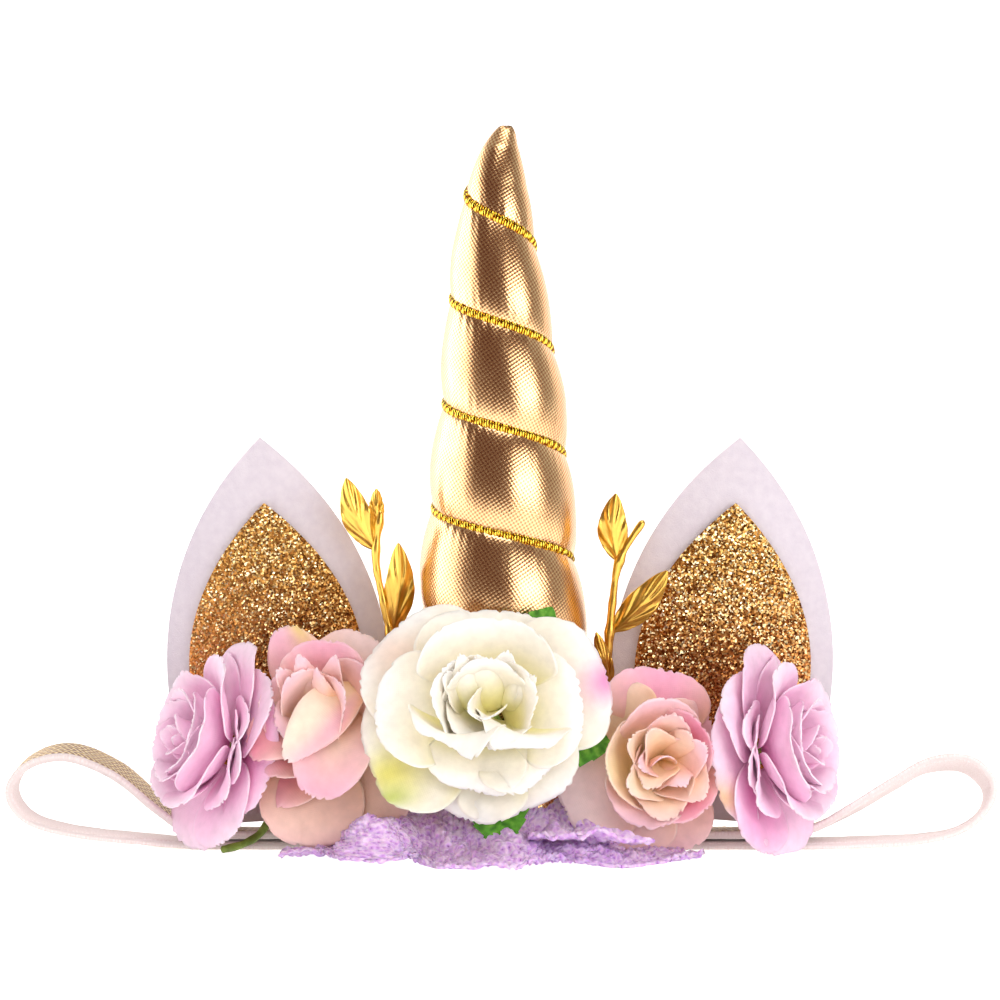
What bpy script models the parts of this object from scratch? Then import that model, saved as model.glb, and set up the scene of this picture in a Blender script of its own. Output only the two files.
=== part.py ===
"""Unicorn horn headband for a small child, standing on a table.

A closed loop of plush elastic lies flat, with an open teardrop bend at each end. A stuffed horn wound with a
braid, two felt ears and two gilt sprigs stand on it, five fabric roses hide their feet, and a lace ruffle
lies in front. Metres, +Z up. The roses face -Y. The origin is on the table, under the middle of the horn.
"""

import math

import bmesh
import bpy
from mathutils import Vector

MM = 0.001
GAP = 0.3 * MM  # left between pieces that are glued or sewn together

BAND_WIDTH = 10 * MM
BAND_THICKNESS = 1.6 * MM
BAND_TOP = 2 * BAND_THICKNESS + GAP  # upper face of the upper run of elastic
SEAT = BAND_TOP + GAP  # where the horn, ears, sprigs and rose stems stand

# Middle line of the elastic round each bend: x and z, and how far the front edge is lifted, in mm.
# The left bend runs from the upper run of elastic down to the lower one, the right bend back up again.
LEFT_BEND = (
    # x, z, front_lift
    (-52.5, 2.7, 0.0),
    (-57, 4.4, -0.2),
    (-62, 8.2, -0.4),
    (-69, 13.9, -0.4),
    (-77.5, 17.2, -0.4),
    (-84.6, 15.4, -0.2),
    (-87.8, 10.4, 0.0),
    (-84.5, 5.4, 0.0),
    (-76, 2.9, 0.0),
    (-64, 1.6, 0.0),
    (-55, 0.8, 0.0),
)
RIGHT_BEND = (
    (56, 0.8, 0.0),
    (66, 1.1, 0.0),
    (76, 1.7, 0.2),
    (83, 3.4, 0.7),
    (87.4, 7.2, 1.2),
    (87.8, 11.6, 1.3),
    (83.6, 15.1, 1.4),
    (77, 14.8, 1.4),
    (71, 11.6, 1.4),
    (64, 7.4, 1.2),
    (57.5, 4.0, 0.6),
    (52.5, 2.7, 0.0),
)

HORN_TIP = 130 * MM
HORN_FLARE = 1.58  # mean radius in mm is this times the square root of the mm below the tip
HORN_FOOT_ROUNDING = 2.4 * MM
HORN_SIDES = 16
ROWS_PER_TURN = 6
CORD_PITCH = 18.8 * MM
CORD_LEFT_HEIGHT = 98.9 * MM  # height of one crossing of the cord at the horn's left side
CORD_RADIUS = 0.8 * MM
CORD_TOP = 121 * MM
CORD_FOOT = 7 * MM
GROOVE_SHARE = 0.125  # groove depth as a share of the radius
MEAN_PUFF = 0.62  # the swell's mean between two turns, so that the mean radius holds
HORN_MIDDLE_LINE = (
    # height, sideways, in mm
    (3, 0.0),
    (60, 0.2),
    (107, -0.8),
    (130, 1.2),
)

EAR_X = 38.3 * MM
EAR_FRONT_Y = 3.2 * MM
EAR_LEAN = 4.3  # degrees outwards
EAR_CUP_RADIUS = 52 * MM
FELT_THICKNESS = 1.8 * MM
GLITTER_THICKNESS = 1.0 * MM
FELT_OUTLINE = {"tip": 69.3 * MM, "widest": 26.3 * MM, "half_width": 20 * MM, "foot": 0.0}
GLITTER_OUTLINE = {"tip": 57.4 * MM, "widest": 28 * MM, "half_width": 16.2 * MM, "foot": 6 * MM}

PETAL_THICKNESS = 1.0 * MM
HOLE_RADIUS = 3.2 * MM
SAMPLES_ACROSS_PETAL = (0.04, 0.35, 0.65, 0.96)

# Where each rose's petals meet, in mm, how far it turns to the wearer's left or right and tips up, in
# degrees, how far its stalk reaches back, and how far its petals reach in eight directions as seen from
# its front, in mm
ROSES = {
    "white_rose": {
        "centre": (-2.2, -26.5, 25.1), "turn": 0, "tip_up": 14, "stalk": 9.75,
        "first_leaf": 61, "leaf_lengths": (1.05, 0.7, 0.7, 1.05, 1.05),
        "reach": {"e": 22.4, "ne": 21.5, "n": 19.5, "nw": 23, "w": 22.6, "sw": 21.8, "s": 19.2, "se": 20},
    },
    "left_peach_rose": {
        "centre": (-30, -14.5, 22), "turn": -12, "tip_up": 22, "stalk": 8,
        "first_leaf": 36, "leaf_lengths": (0.7, 0.7, 0.7, 1.05, 0.7),
        "reach": {"e": 14, "ne": 18, "n": 20.4, "nw": 17, "w": 12, "sw": 15.5, "s": 20.4, "se": 18},
    },
    "right_peach_rose": {
        "centre": (26, -15.5, 16.6), "turn": 8, "tip_up": 3, "stalk": 8,
        "reach": {"e": 11, "ne": 16, "n": 16.8, "nw": 16, "w": 13.5, "sw": 16, "s": 15.6, "se": 13.5},
    },
    "left_lilac_rose": {
        "centre": (-49, -10.6, 18.7), "turn": -60, "tip_up": 15, "stalk": 8,
        "reach": {"e": 10.6, "ne": 15.5, "n": 20, "nw": 16.5, "w": 12, "sw": 14.6, "s": 18.8, "se": 15},
    },
    "right_lilac_rose": {
        "centre": (47.3, -11.6, 18), "turn": 58, "tip_up": 8, "stalk": 8,
        "reach": {"e": 12, "ne": 16, "n": 18.4, "nw": 17.4, "w": 15, "sw": 17, "s": 18, "se": 14.4},
    },
}
FULL_REACH = 21  # the white rose's, in mm: the heights below are for this reach and go down with it

# Each whorl of petals: its size against the rose's reach and how far it follows that reach round, its
# heights in mm at even steps from the hole out to the rim, the depth of the notches between petals, how far
# a petal's rim curls back between its sides, and how far each petal's one edge lies over the next one, in mm
WHORLS = {
    "outer": {
        "size": 1.0, "follow": 1, "petals": 5, "first": 20, "notch": 0.24, "roundness": 3, "curl": -1.6,
        "overlap": 1.4, "heights": (-2.8, -2.0, 0.6, 1.4),
    },
    "middle": {
        "size": 0.82, "follow": 0.75, "petals": 5, "first": 56, "notch": 0.2, "roundness": 3, "curl": -1.4,
        "overlap": 1.4, "heights": (-0.7, 0.8, 5.2, 7.2),
    },
    "inner": {
        "size": 0.56, "follow": 0.6, "petals": 5, "first": 20, "notch": 0.14, "roundness": 3, "curl": -0.8,
        "overlap": 1.0, "heights": (1.5, 3.2, 8.4, 11),
    },
    "leaves": {
        "size": 1, "follow": 1, "petals": 5, "first": 0, "notch": 0.6, "roundness": 1, "curl": 0,
        "overlap": 0, "heights": (-5.2, -4.9, -4.2),
    },
}

# Turned section of a rose's bud, in mm for a rose of full reach, and of the stalk that carries its petals
BUD_SECTION = ((0.0, 13.4), (2.0, 13.0), (4.4, 11.4), (5.6, 8.6), (5.0, 6.2))
STALK_RADIUS = 2.7 * MM
CORE_SIDES = 12

WIRE_BEVEL_STEPS = 1  # gives six sides
STEM_RADIUS = 0.7 * MM
# Where the stems that leave the cut stalks go on to, in mm: the left lilac rose's shows in front, the others
# stand behind the flowers on the elastic
STEMS = {
    "left_peach_rose": ((-27.4, -3, 13), (-27.2, -1.6, 8), (-27.2, -1.6, 3.85)),
    "right_peach_rose": ((24.6, -3.8, 12), (24.4, -1.8, 8), (24.4, -1.8, 3.85)),
    "left_lilac_rose": (
        (-39.4, -5.6, 12.5), (-40.5, -6.6, 7.5), (-42.4, -7.2, 3.6), (-45.4, -9.6, 1.7), (-49.1, -13.2, 1),
    ),
    "right_lilac_rose": ((36.2, -3.8, 13), (35.4, -1.8, 8), (35.4, -1.8, 3.85)),
}

SPRIG_WIRE_RADIUS = 0.8 * MM
LEAF_THICKNESS = 0.9 * MM
LEAF_STALK_HALF = 0.5 * MM
LEAF_FOLD = 0.6 * MM
# Wire of each sprig from its foot up, and its leaves from stalk to tip with their widest breadth, in mm
SPRIGS = {
    "left_sprig": {
        "wire": (
            (-20.6, 0, 3.85), (-20.4, -0.5, 20), (-19.2, -1, 34),
            (-20.8, -1, 43.5), (-22.3, -1, 52), (-21.4, -1, 61),
        ),
        "leaves": (
            {"stalk": (-22.2, -1, 53.6), "tip": (-27.6, -2.6, 66.6), "breadth": 5.6, "bow": -0.9},
            {"stalk": (-21.6, -1, 58.6), "tip": (-22.2, -0.2, 64.6), "breadth": 2.6, "bow": -0.3},
            {"stalk": (-19.4, -1, 38.6), "tip": (-18.2, -3.4, 55), "breadth": 5.4, "bow": 0.8},
        ),
    },
    "right_sprig": {
        "wire": (
            (20.6, 0, 3.85), (20, -0.5, 20), (19.4, -1, 33),
            (20.2, -1, 44), (21.6, -1, 52), (25.9, -1, 59),
        ),
        "leaves": (
            {"stalk": (21.2, -1, 51.6), "tip": (20.8, -2.4, 63.8), "breadth": 5.4, "bow": -0.8},
            {"stalk": (20.2, -1, 39), "tip": (30, -3.2, 50), "breadth": 5.4, "bow": 0.6},
            {"stalk": (19.8, -1, 28), "tip": (17.2, -3.4, 39), "breadth": 3, "bow": 0.2},
        ),
    },
}

LACE_THICKNESS = 1.1 * MM
LACE_ROOT = {"y": -5.35, "z": 0.9}
# Folds of the lower ruffle from left to right, in mm: where its sewn edge, its belly and its free edge lie
LACE_FOLDS = (
    # root_x, belly_x, belly_y, belly_z, rim_x, rim_y, rim_z
    (-30, -35, -15, 1.2, -38.5, -19.5, 0.7),
    (-27, -29.5, -18, 2.4, -31, -21, 1.0),
    (-22, -25, -26.2, 6.6, -26, -29.5, 0.8),
    (-17, -19.5, -27.2, 6.8, -19, -31.5, 0.8),
    (-12, -14.5, -24, 2.6, -14.5, -27, 1.6),
    (-8, -10, -26.5, 2.2, -10.6, -35, 0.8),
    (-4, -5.5, -26.5, 2.4, -5.4, -36, 0.7),
    (0, 1.2, -30, 4.0, 2.4, -39.6, 0.7),
    (4, 5.2, -28, 3.0, 6.4, -34.5, 1.4),
    (8, 8.4, -24, 1.6, 9.2, -28, 1.6),
    (12, 14.8, -25.8, 2.0, 15.6, -30.5, 0.9),
    (17, 19.6, -26.4, 1.4, 21.4, -34, 0.8),
    (23, 25.6, -22, 0.9, 27.6, -27, 0.8),
    (30, 32.6, -15, 0.9, 35.6, -19, 0.8),
)
# The upper flap of the ruffle, under the right side of the white rose
FLAP_ROOT = {"y": -19.8, "z": 4.6}
FLAP_FOLDS = (
    (4.4, 4.8, -24.2, 4.8, 4.8, -29.4, 5.0),
    (8, 9.2, -26, 5.2, 9.6, -31.6, 5.2),
    (11, 14.2, -27, 5.2, 15.4, -32.4, 5.8),
    (14, 18.6, -27.6, 4.6, 21, -32.6, 5.0),
    (17, 22.4, -27.4, 4.6, 26.2, -31.8, 5.6),
)


def clear_scene():
    for old in list(bpy.data.objects):
        bpy.data.objects.remove(old)


def new_collection(name):
    found = bpy.data.collections.new(name)
    bpy.context.scene.collection.children.link(found)
    return found


def material(name, colour, roughness, metallic=0.0):
    made = bpy.data.materials.new(name)
    made.use_nodes = True
    shader = made.node_tree.nodes["Principled BSDF"]
    shader.inputs["Base Color"].default_value = (*colour, 1)
    shader.inputs["Roughness"].default_value = roughness
    shader.inputs["Metallic"].default_value = metallic
    return made


def add_object(name, data, finish, parent=None):
    made = bpy.data.objects.new(name, data)
    data.materials.append(finish)
    PART.objects.link(made)
    made.parent = parent
    return made


def sheet(name, columns, rows, shape, finish, parent=None):
    """A grid of faces laid on shape(u, v), where u and v run from 0 to 1. Edges that meet are merged."""
    mesh = bpy.data.meshes.new(name)
    grid = bmesh.new()
    bmesh.ops.create_grid(grid, x_segments=columns, y_segments=rows, size=0.5)
    for vertex in grid.verts:
        vertex.co = shape(vertex.co.x + 0.5, vertex.co.y + 0.5)
    bmesh.ops.remove_doubles(grid, verts=grid.verts, dist=0.01 * MM)
    bmesh.ops.dissolve_degenerate(grid, edges=grid.edges, dist=0.01 * MM)
    bmesh.ops.recalc_face_normals(grid, faces=grid.faces)
    grid.to_mesh(mesh)
    grid.free()
    made = add_object(name, mesh, finish, parent)
    mesh.shade_smooth()
    mesh.set_sharp_from_angle(angle=math.radians(35))
    return made


def thicken(made, thickness):
    """Gives a sheet its thickness, half to each side."""
    wall = made.modifiers.new("wall", "SOLIDIFY")
    wall.thickness = thickness
    wall.offset = 0
    wall.use_even_offset = True


def between(rows, x):
    """The second column of rows at x in the first, on straight lines between rows."""
    if x <= rows[0][0]:
        return rows[0][1]
    for (x0, y0), (x1, y1) in zip(rows, rows[1:]):
        if x <= x1:
            return y0 + (y1 - y0) * (x - x0) / (x1 - x0)
    return rows[-1][1]


def smooth_point(points, place):
    """A point on a smooth curve through points, where place counts points from 0."""
    last = len(points) - 1
    start = min(int(place), last - 1)
    t = place - start
    before, a, b, after = (points[min(max(i, 0), last)] for i in (start - 1, start, start + 1, start + 2))
    return tuple(
        0.5 * (2 * q + (r - p) * t + (2 * p - 5 * q + 4 * r - s) * t**2 + (3 * q - p - 3 * r + s) * t**3)
        for p, q, r, s in zip(before, a, b, after)
    )


def tube(name, points, radius, finish):
    """A wire of round section through points that are given in metres."""
    curve = bpy.data.curves.new(name, "CURVE")
    curve.dimensions = "3D"
    curve.bevel_depth = radius
    curve.bevel_resolution = WIRE_BEVEL_STEPS
    curve.use_fill_caps = True
    spline = curve.splines.new("POLY")
    spline.points.add(len(points) - 1)
    for target, point in zip(spline.points, points):
        target.co = (*point, 1)
    return add_object(name, curve, finish)


def turned(name, section, sides, finish, parent=None):
    """A solid of revolution about its own Z axis. The section runs from the top down its outer side."""
    mesh = bpy.data.meshes.new(name)
    points = [(radius * MM, 0, height * MM) for radius, height in section]
    mesh.from_pydata(points, [(i, i + 1) for i in range(len(points) - 1)], [])
    made = add_object(name, mesh, finish, parent)
    spin = made.modifiers.new("spin", "SCREW")
    spin.steps = sides
    spin.render_steps = sides
    spin.use_merge_vertices = True
    spin.merge_threshold = 0.00001
    spin.use_normal_calculate = True
    return made


def band():
    """The elastic: a flat strap swept once round, through both bends."""
    stations = []
    for bend in (LEFT_BEND, RIGHT_BEND):
        stations += [smooth_point(bend, stop / 2) for stop in range(2 * len(bend) - 1)]
    count = len(stations)

    def place(u, v):
        index = round(u * count) % count
        x, z, lift = stations[index]
        before, after = stations[index - 1], stations[(index + 1) % count]
        along = Vector((after[0] - before[0], 0, after[1] - before[1])).normalized()
        out = Vector((along.z, 0, -along.x)) * BAND_THICKNESS / 2 / MM
        across, level = ((-1, 1), (1, 1), (1, -1), (-1, -1))[round(v * 4) % 4]
        centre = Vector((x, across * 0.5 * BAND_WIDTH / MM, z - across * lift))
        return (centre + level * out) * MM

    sheet("elastic_band", count, 4, place, PLUSH)


def horn_radius(height):
    """Mean radius of the stuffed horn, with its foot rounded under."""
    radius = HORN_FLARE * math.sqrt(max(HORN_TIP - height, 0) / MM) * MM
    above_foot = height - SEAT
    if above_foot < HORN_FOOT_ROUNDING:
        short = 1 - above_foot / HORN_FOOT_ROUNDING
        radius -= HORN_FOOT_ROUNDING * (1 - math.sqrt(max(1 - short**2, 0)))
    return radius


def cord_phase(angle, height):
    """Place between two turns of the cord: 0 on one, 0.5 half way to the next below."""
    turns = (CORD_LEFT_HEIGHT - height) / CORD_PITCH - (angle - math.pi) / math.tau
    return turns % 1


def horn_surface(angle, height, phase):
    """A point on the horn, which swells between two turns of the cord and is drawn in on them."""
    mean = horn_radius(height)
    puff = max(math.sin(math.pi * phase), 0) ** 0.75 - MEAN_PUFF
    radius = mean * (1 + GROOVE_SHARE * puff)
    sideways = between(HORN_MIDDLE_LINE, height / MM) * MM
    return Vector((sideways + radius * math.cos(angle), radius * math.sin(angle), height))


def horn():
    """The stuffed horn. Its rows of faces follow the cord round, so that the groove under it is whole."""
    turns = (HORN_TIP - SEAT) / CORD_PITCH + 2
    rows = math.ceil(turns * ROWS_PER_TURN)
    top_row_height = CORD_LEFT_HEIGHT + 3 * CORD_PITCH

    def place(u, v):
        angle = math.tau * u + math.pi
        helix = top_row_height - CORD_PITCH * (u + round(v * rows) / ROWS_PER_TURN)
        height = min(max(helix, SEAT), HORN_TIP)
        if HORN_TIP - height < 0.4 * MM:
            return Vector((HORN_MIDDLE_LINE[-1][1] * MM, 0, HORN_TIP))
        if height - SEAT < 0.4 * MM:
            height = SEAT
        return horn_surface(angle, height, cord_phase(angle, height))

    made = sheet("horn", HORN_SIDES, rows, place, LAME)
    closed = bmesh.new()
    closed.from_mesh(made.data)
    bmesh.ops.holes_fill(closed, edges=[edge for edge in closed.edges if edge.is_boundary], sides=0)
    bmesh.ops.recalc_face_normals(closed, faces=closed.faces)
    closed.to_mesh(made.data)
    closed.free()


def horn_cord():
    """The braid wound round the horn, in its groove."""
    start = (CORD_LEFT_HEIGHT - CORD_TOP) / CORD_PITCH
    end = (CORD_LEFT_HEIGHT - CORD_FOOT) / CORD_PITCH
    points = []
    for step in range(math.ceil(start * HORN_SIDES), math.floor(end * HORN_SIDES) + 1):
        turn = step / HORN_SIDES
        angle = math.pi + math.tau * turn
        height = CORD_LEFT_HEIGHT - CORD_PITCH * turn
        on_horn = horn_surface(angle, height, 0)
        outwards = Vector((math.cos(angle), math.sin(angle), 0))
        points.append(on_horn + outwards * (CORD_RADIUS + 1.5 * GAP))
    tube("horn_cord", points, CORD_RADIUS, BRAID)


def half_width(outline, height):
    """Half the breadth of an ear at a height above its foot: two arcs that meet in the tip."""
    rise = outline["tip"] - outline["widest"]
    arc = (rise**2 + outline["half_width"] ** 2) / (2 * outline["half_width"])
    reach = arc**2 - (height - outline["widest"]) ** 2
    return max(math.sqrt(max(reach, 0)) - (arc - outline["half_width"]), 0)


def ear_layer(name, outline, front_y, thickness, side, finish, columns, rows):
    """One layer of an ear: a flat cut shape, cupped round an upright line and leaning outwards."""

    def place(u, v):
        share = math.sin(v * math.pi / 2) if v < 1 else 1  # closer rows towards the tip
        height = outline["foot"] + share * (outline["tip"] - outline["foot"])
        x = (2 * u - 1) * half_width(outline, height)
        return Vector((x, front_y + thickness / 2 + x * x / (2 * EAR_CUP_RADIUS), height))

    made = sheet(name, columns, rows, place, finish)
    thicken(made, thickness)
    lean = math.radians(EAR_LEAN)
    made.location = (side * EAR_X, 0, SEAT + half_width(FELT_OUTLINE, 0) * math.sin(lean))
    made.rotation_euler = (0, side * lean, 0)


def reach_at(reach, angle):
    """How far petals reach at an angle, smoothly between the eight directions."""
    order = ("e", "ne", "n", "nw", "w", "sw", "s", "se")
    place = (angle / math.tau * len(order)) % len(order)
    low = int(place)
    t = (1 - math.cos(math.pi * (place - low))) / 2
    return (1 - t) * reach[order[low]] + t * reach[order[(low + 1) % len(order)]]


def whorl(name, kind, form, first, lengths, finish, axis):
    """One ring of petals, cut from a single sheet that is threaded on the core through its hole."""
    petals = WHORLS[kind]
    mean = sum(form["reach"].values()) / len(form["reach"])
    small = mean / FULL_REACH
    across = len(SAMPLES_ACROSS_PETAL)
    columns = petals["petals"] * across
    hole = HOLE_RADIUS / MM
    steps = list(enumerate(petals["heights"]))
    rows = len(steps) - 1

    def place(u, v):
        petal, sample = divmod(round(u * columns) % columns, across)
        over = SAMPLES_ACROSS_PETAL[sample]
        side = abs(2 * over - 1)
        angle = math.radians(first) + math.tau * (petal + over - 0.5) / petals["petals"]
        reach = mean + petals["follow"] * (reach_at(form["reach"], angle) - mean)
        rim = petals["size"] * lengths[petal] * reach * (1 - petals["notch"] * side ** petals["roundness"])
        radius = hole + (rim - hole) * v
        bend = petals["curl"] * (1 - side**2) + petals["overlap"] * (over - 0.5)
        height = small * (between(steps, v * rows) + bend * v * v)
        return Vector((radius * math.cos(angle), radius * math.sin(angle), height)) * MM

    thicken(sheet(name, columns, rows, place, finish, axis), PETAL_THICKNESS)


def rose(name, finish):
    """A fabric rose: three whorls of petals on a bud with a cut stalk, and leaves behind where they show."""
    form = ROSES[name]
    axis = bpy.data.objects.new(name, None)
    PART.objects.link(axis)
    axis.location = Vector(form["centre"]) * MM
    axis.rotation_euler = (math.radians(90 - form["tip_up"]), 0, math.radians(form["turn"]))
    small = sum(form["reach"].values()) / len(form["reach"]) / FULL_REACH
    stalk = STALK_RADIUS / MM
    section = [(radius * small, height * small) for radius, height in BUD_SECTION]
    end = -form["stalk"]
    section += [(stalk, 4.6 * small), (stalk, end + 1), (stalk - 0.8, end), (0, end)]
    turned(f"{name}_core", section, CORE_SIDES, finish, axis)
    for kind in ("outer", "middle", "inner"):
        whorl(f"{name}_{kind}_petals", kind, form, WHORLS[kind]["first"], (1,) * 5, finish, axis)
    if "first_leaf" in form:
        whorl(f"{name}_leaves", "leaves", form, form["first_leaf"], form["leaf_lengths"], GREEN, axis)


def stem(name, route):
    """The wire stem of a rose, from just behind its cut stalk."""
    bpy.context.view_layer.update()
    place = bpy.data.objects[name].matrix_world
    behind = ROSES[name]["stalk"] * MM + GAP
    points = [place @ Vector((0, 0, -behind)), place @ Vector((0, 0, -behind - 2 * STEM_RADIUS))]
    knots = [tuple(points[-1] / MM), *route]
    points += [Vector(smooth_point(knots, i / 2)) * MM for i in range(1, 2 * len(knots) - 1)]
    tube(f"{name}_stem", points, STEM_RADIUS, GREEN)


def mesh_of(made):
    """Turns a curve or a sheet with modifiers into a plain closed mesh in place."""
    bpy.context.view_layer.update()
    graph = bpy.context.evaluated_depsgraph_get()
    mesh = bpy.data.meshes.new_from_object(made.evaluated_get(graph))
    closed = bmesh.new()
    closed.from_mesh(mesh)
    bmesh.ops.remove_doubles(closed, verts=closed.verts, dist=0.001 * MM)
    closed.to_mesh(mesh)
    closed.free()
    name, finish, place = made.name, made.data.materials[0], made.matrix_world.copy()
    bpy.data.objects.remove(made)
    mesh.materials.clear()
    plain = add_object(name, mesh, finish)
    plain.matrix_world = place
    return plain


def sprig_leaf(name, leaf, finish):
    """A pressed leaf: a pointed oval, bowed along its length and folded a little along its rib."""
    stalk, tip = (Vector(leaf[end]) * MM for end in ("stalk", "tip"))
    along = tip - stalk
    facing = Vector((0, -1, 0))
    aside = along.cross(facing).normalized()
    facing = aside.cross(along).normalized()
    half_breadth = 0.5 * leaf["breadth"] * MM

    def place(u, v):
        share = min(max(v, 0.0), 1.0)
        swell = math.sin(math.pi * share)
        half = max(half_breadth * math.sin(math.pi * share**0.85) ** 0.8, LEAF_STALK_HALF * (1 - share))
        side = 2 * u - 1
        bow = leaf["bow"] * MM * swell
        fold = LEAF_FOLD * abs(side) * swell
        return stalk + along * share + aside * (side * half + bow) - facing * fold

    made = sheet(name, 2, 6, place, finish)
    thicken(made, LEAF_THICKNESS)
    return made


def sprig(name, form):
    """A gilt sprig: a wire and pressed leaves, cast in one piece."""
    route = form["wire"]
    points = [Vector(smooth_point(route, i / 2)) * MM for i in range(2 * len(route) - 1)]
    wire = mesh_of(tube(name, points, SPRIG_WIRE_RADIUS, GILT))
    for number, leaf in enumerate(form["leaves"]):
        blade = mesh_of(sprig_leaf(f"{name}_leaf_{number}", leaf, GILT))
        PART.objects.unlink(blade)
        CUTTERS.objects.link(blade)
        blade.hide_render = True
        blade.display_type = "WIRE"
        join = wire.modifiers.new(f"leaf {number}", "BOOLEAN")
        join.operation = "UNION"
        join.object = blade


def ruffle(name, folds, root_y, root_z, rows, finish):
    """Gathered lace: each fold runs from the sewn edge over its belly to the free edge."""
    columns = 2 * (len(folds) - 1)

    def place(u, v):
        root_x, belly_x, belly_y, belly_z, rim_x, rim_y, rim_z = smooth_point(folds, u * (len(folds) - 1))
        root, belly, rim = (root_x, root_y, root_z), (belly_x, belly_y, belly_z), (rim_x, rim_y, rim_z)
        half_way = tuple((a + b) / 2 for a, b in zip(root, belly))
        lowered = (half_way[0], half_way[1], min(half_way[2], root_z))
        return Vector(smooth_point((root, lowered, belly, rim), 3 * v)) * MM

    thicken(sheet(name, columns, rows, place, finish), LACE_THICKNESS)


clear_scene()
PART = new_collection("Unicorn horn headband")
CUTTERS = new_collection("Joined shapes")

PLUSH = material("white plush elastic", (0.86, 0.81, 0.77), 0.9)
LAME = material("gold lame", (0.83, 0.62, 0.36), 0.25, 1.0)
BRAID = material("gold braid", (0.8, 0.55, 0.08), 0.35, 1.0)
FELT = material("white felt", (0.86, 0.83, 0.87), 0.95)
GLITTER = material("gold glitter sheet", (0.6, 0.38, 0.14), 0.5, 0.6)
GILT = material("gilt metal", (0.8, 0.56, 0.17), 0.3, 1.0)
CREAM = material("cream petal cloth", (0.9, 0.87, 0.75), 0.8)
PEACH = material("peach petal cloth", (0.9, 0.6, 0.5), 0.8)
LILAC = material("lilac pink petal cloth", (0.82, 0.48, 0.7), 0.8)
GREEN = material("green leaf cloth", (0.2, 0.42, 0.08), 0.8)
LACE = material("lilac lace", (0.6, 0.42, 0.75), 0.9)

band()
horn()
horn_cord()
for side_name, side in (("left", -1), ("right", 1)):
    ear_layer(f"{side_name}_ear_felt", FELT_OUTLINE, EAR_FRONT_Y, FELT_THICKNESS, side, FELT, 6, 8)
    glitter_y = EAR_FRONT_Y - 1.5 * GAP - GLITTER_THICKNESS
    ear_layer(f"{side_name}_ear_glitter", GLITTER_OUTLINE, glitter_y, GLITTER_THICKNESS, side, GLITTER, 6, 6)

rose("white_rose", CREAM)
rose("left_peach_rose", PEACH)
rose("right_peach_rose", PEACH)
rose("left_lilac_rose", LILAC)
rose("right_lilac_rose", LILAC)
for owner, stem_route in STEMS.items():
    stem(owner, stem_route)
for sprig_name, sprig_form in SPRIGS.items():
    sprig(sprig_name, sprig_form)
ruffle("lace_ruffle", LACE_FOLDS, LACE_ROOT["y"], LACE_ROOT["z"], 5, LACE)
ruffle("lace_flap", FLAP_FOLDS, FLAP_ROOT["y"], FLAP_ROOT["z"], 4, LACE)
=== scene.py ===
# %% [markdown]
# # A unicorn horn headband, dressed in Blender
# The plain model of this headband is packed already: a loop of elastic, a horn, ears, sprigs, roses and
# lace. This notebook puts a detailed piece over each of those solids and gives every surface its real
# finish. Everything is in metres in one shared frame, so a new piece goes exactly where its plain solid is.

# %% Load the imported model
import math

import bpy
import numpy as np
from mathutils import Euler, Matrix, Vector


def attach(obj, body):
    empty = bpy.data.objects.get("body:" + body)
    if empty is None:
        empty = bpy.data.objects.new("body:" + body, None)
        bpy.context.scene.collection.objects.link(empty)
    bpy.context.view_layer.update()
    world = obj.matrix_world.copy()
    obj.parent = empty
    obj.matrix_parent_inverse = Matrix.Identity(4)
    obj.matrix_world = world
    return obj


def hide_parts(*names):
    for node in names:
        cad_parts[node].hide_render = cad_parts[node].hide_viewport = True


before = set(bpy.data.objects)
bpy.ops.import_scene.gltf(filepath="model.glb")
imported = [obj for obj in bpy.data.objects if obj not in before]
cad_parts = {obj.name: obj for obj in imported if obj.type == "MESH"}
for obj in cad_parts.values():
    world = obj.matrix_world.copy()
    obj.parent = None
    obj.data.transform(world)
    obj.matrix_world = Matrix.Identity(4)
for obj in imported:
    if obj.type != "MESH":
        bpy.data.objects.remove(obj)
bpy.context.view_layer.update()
MM = 0.001
TAU = 2 * math.pi

# %% [markdown]
# ## The camera
# The photograph was taken from straight in front, level with the lower third of the horn. A 120 mm lens at
# 600 mm sees 180 mm at the horn, and keeps the perspective as flat as in the photograph.

# %% Place the camera
CAMERA_AWAY = 600
CAMERA_HEIGHT = 62.6
level = (math.radians(90), 0, 0)
bpy.ops.object.camera_add(location=(0, -CAMERA_AWAY * MM, CAMERA_HEIGHT * MM), rotation=level)
camera = bpy.context.object
camera.name = "studio_camera"
camera.data.lens = 120
camera.data.sensor_width = 36
bpy.context.scene.camera = camera
bpy.context.scene.view_settings.view_transform = "Standard"
print("camera at", [round(n, 3) for n in camera.location])

# %% [markdown]
# ## Colours and nodes
# A colour picker shows sRGB values, but a shader adds up light, so each value is turned to linear light
# once. One small function adds a node with its settings and links, and every material below is made with it.


# %% Colour and node helpers
def colour(code):
    """Linear red, green, blue and a full alpha from an sRGB hex value."""
    parts = [int(code[i : i + 2], 16) / 255 for i in (0, 2, 4)]
    return (*[p / 12.92 if p <= 0.04045 else ((p + 0.055) / 1.055) ** 2.4 for p in parts], 1.0)


def feed(tree, node, inputs):
    """Sets the sockets of a node. A node given as a value is linked by its first output."""
    for socket, value in inputs.items():
        if isinstance(value, bpy.types.Node):
            value = value.outputs[0]
        if isinstance(value, bpy.types.NodeSocket):
            tree.links.new(value, node.inputs[socket])
        else:
            node.inputs[socket].default_value = value


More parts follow.
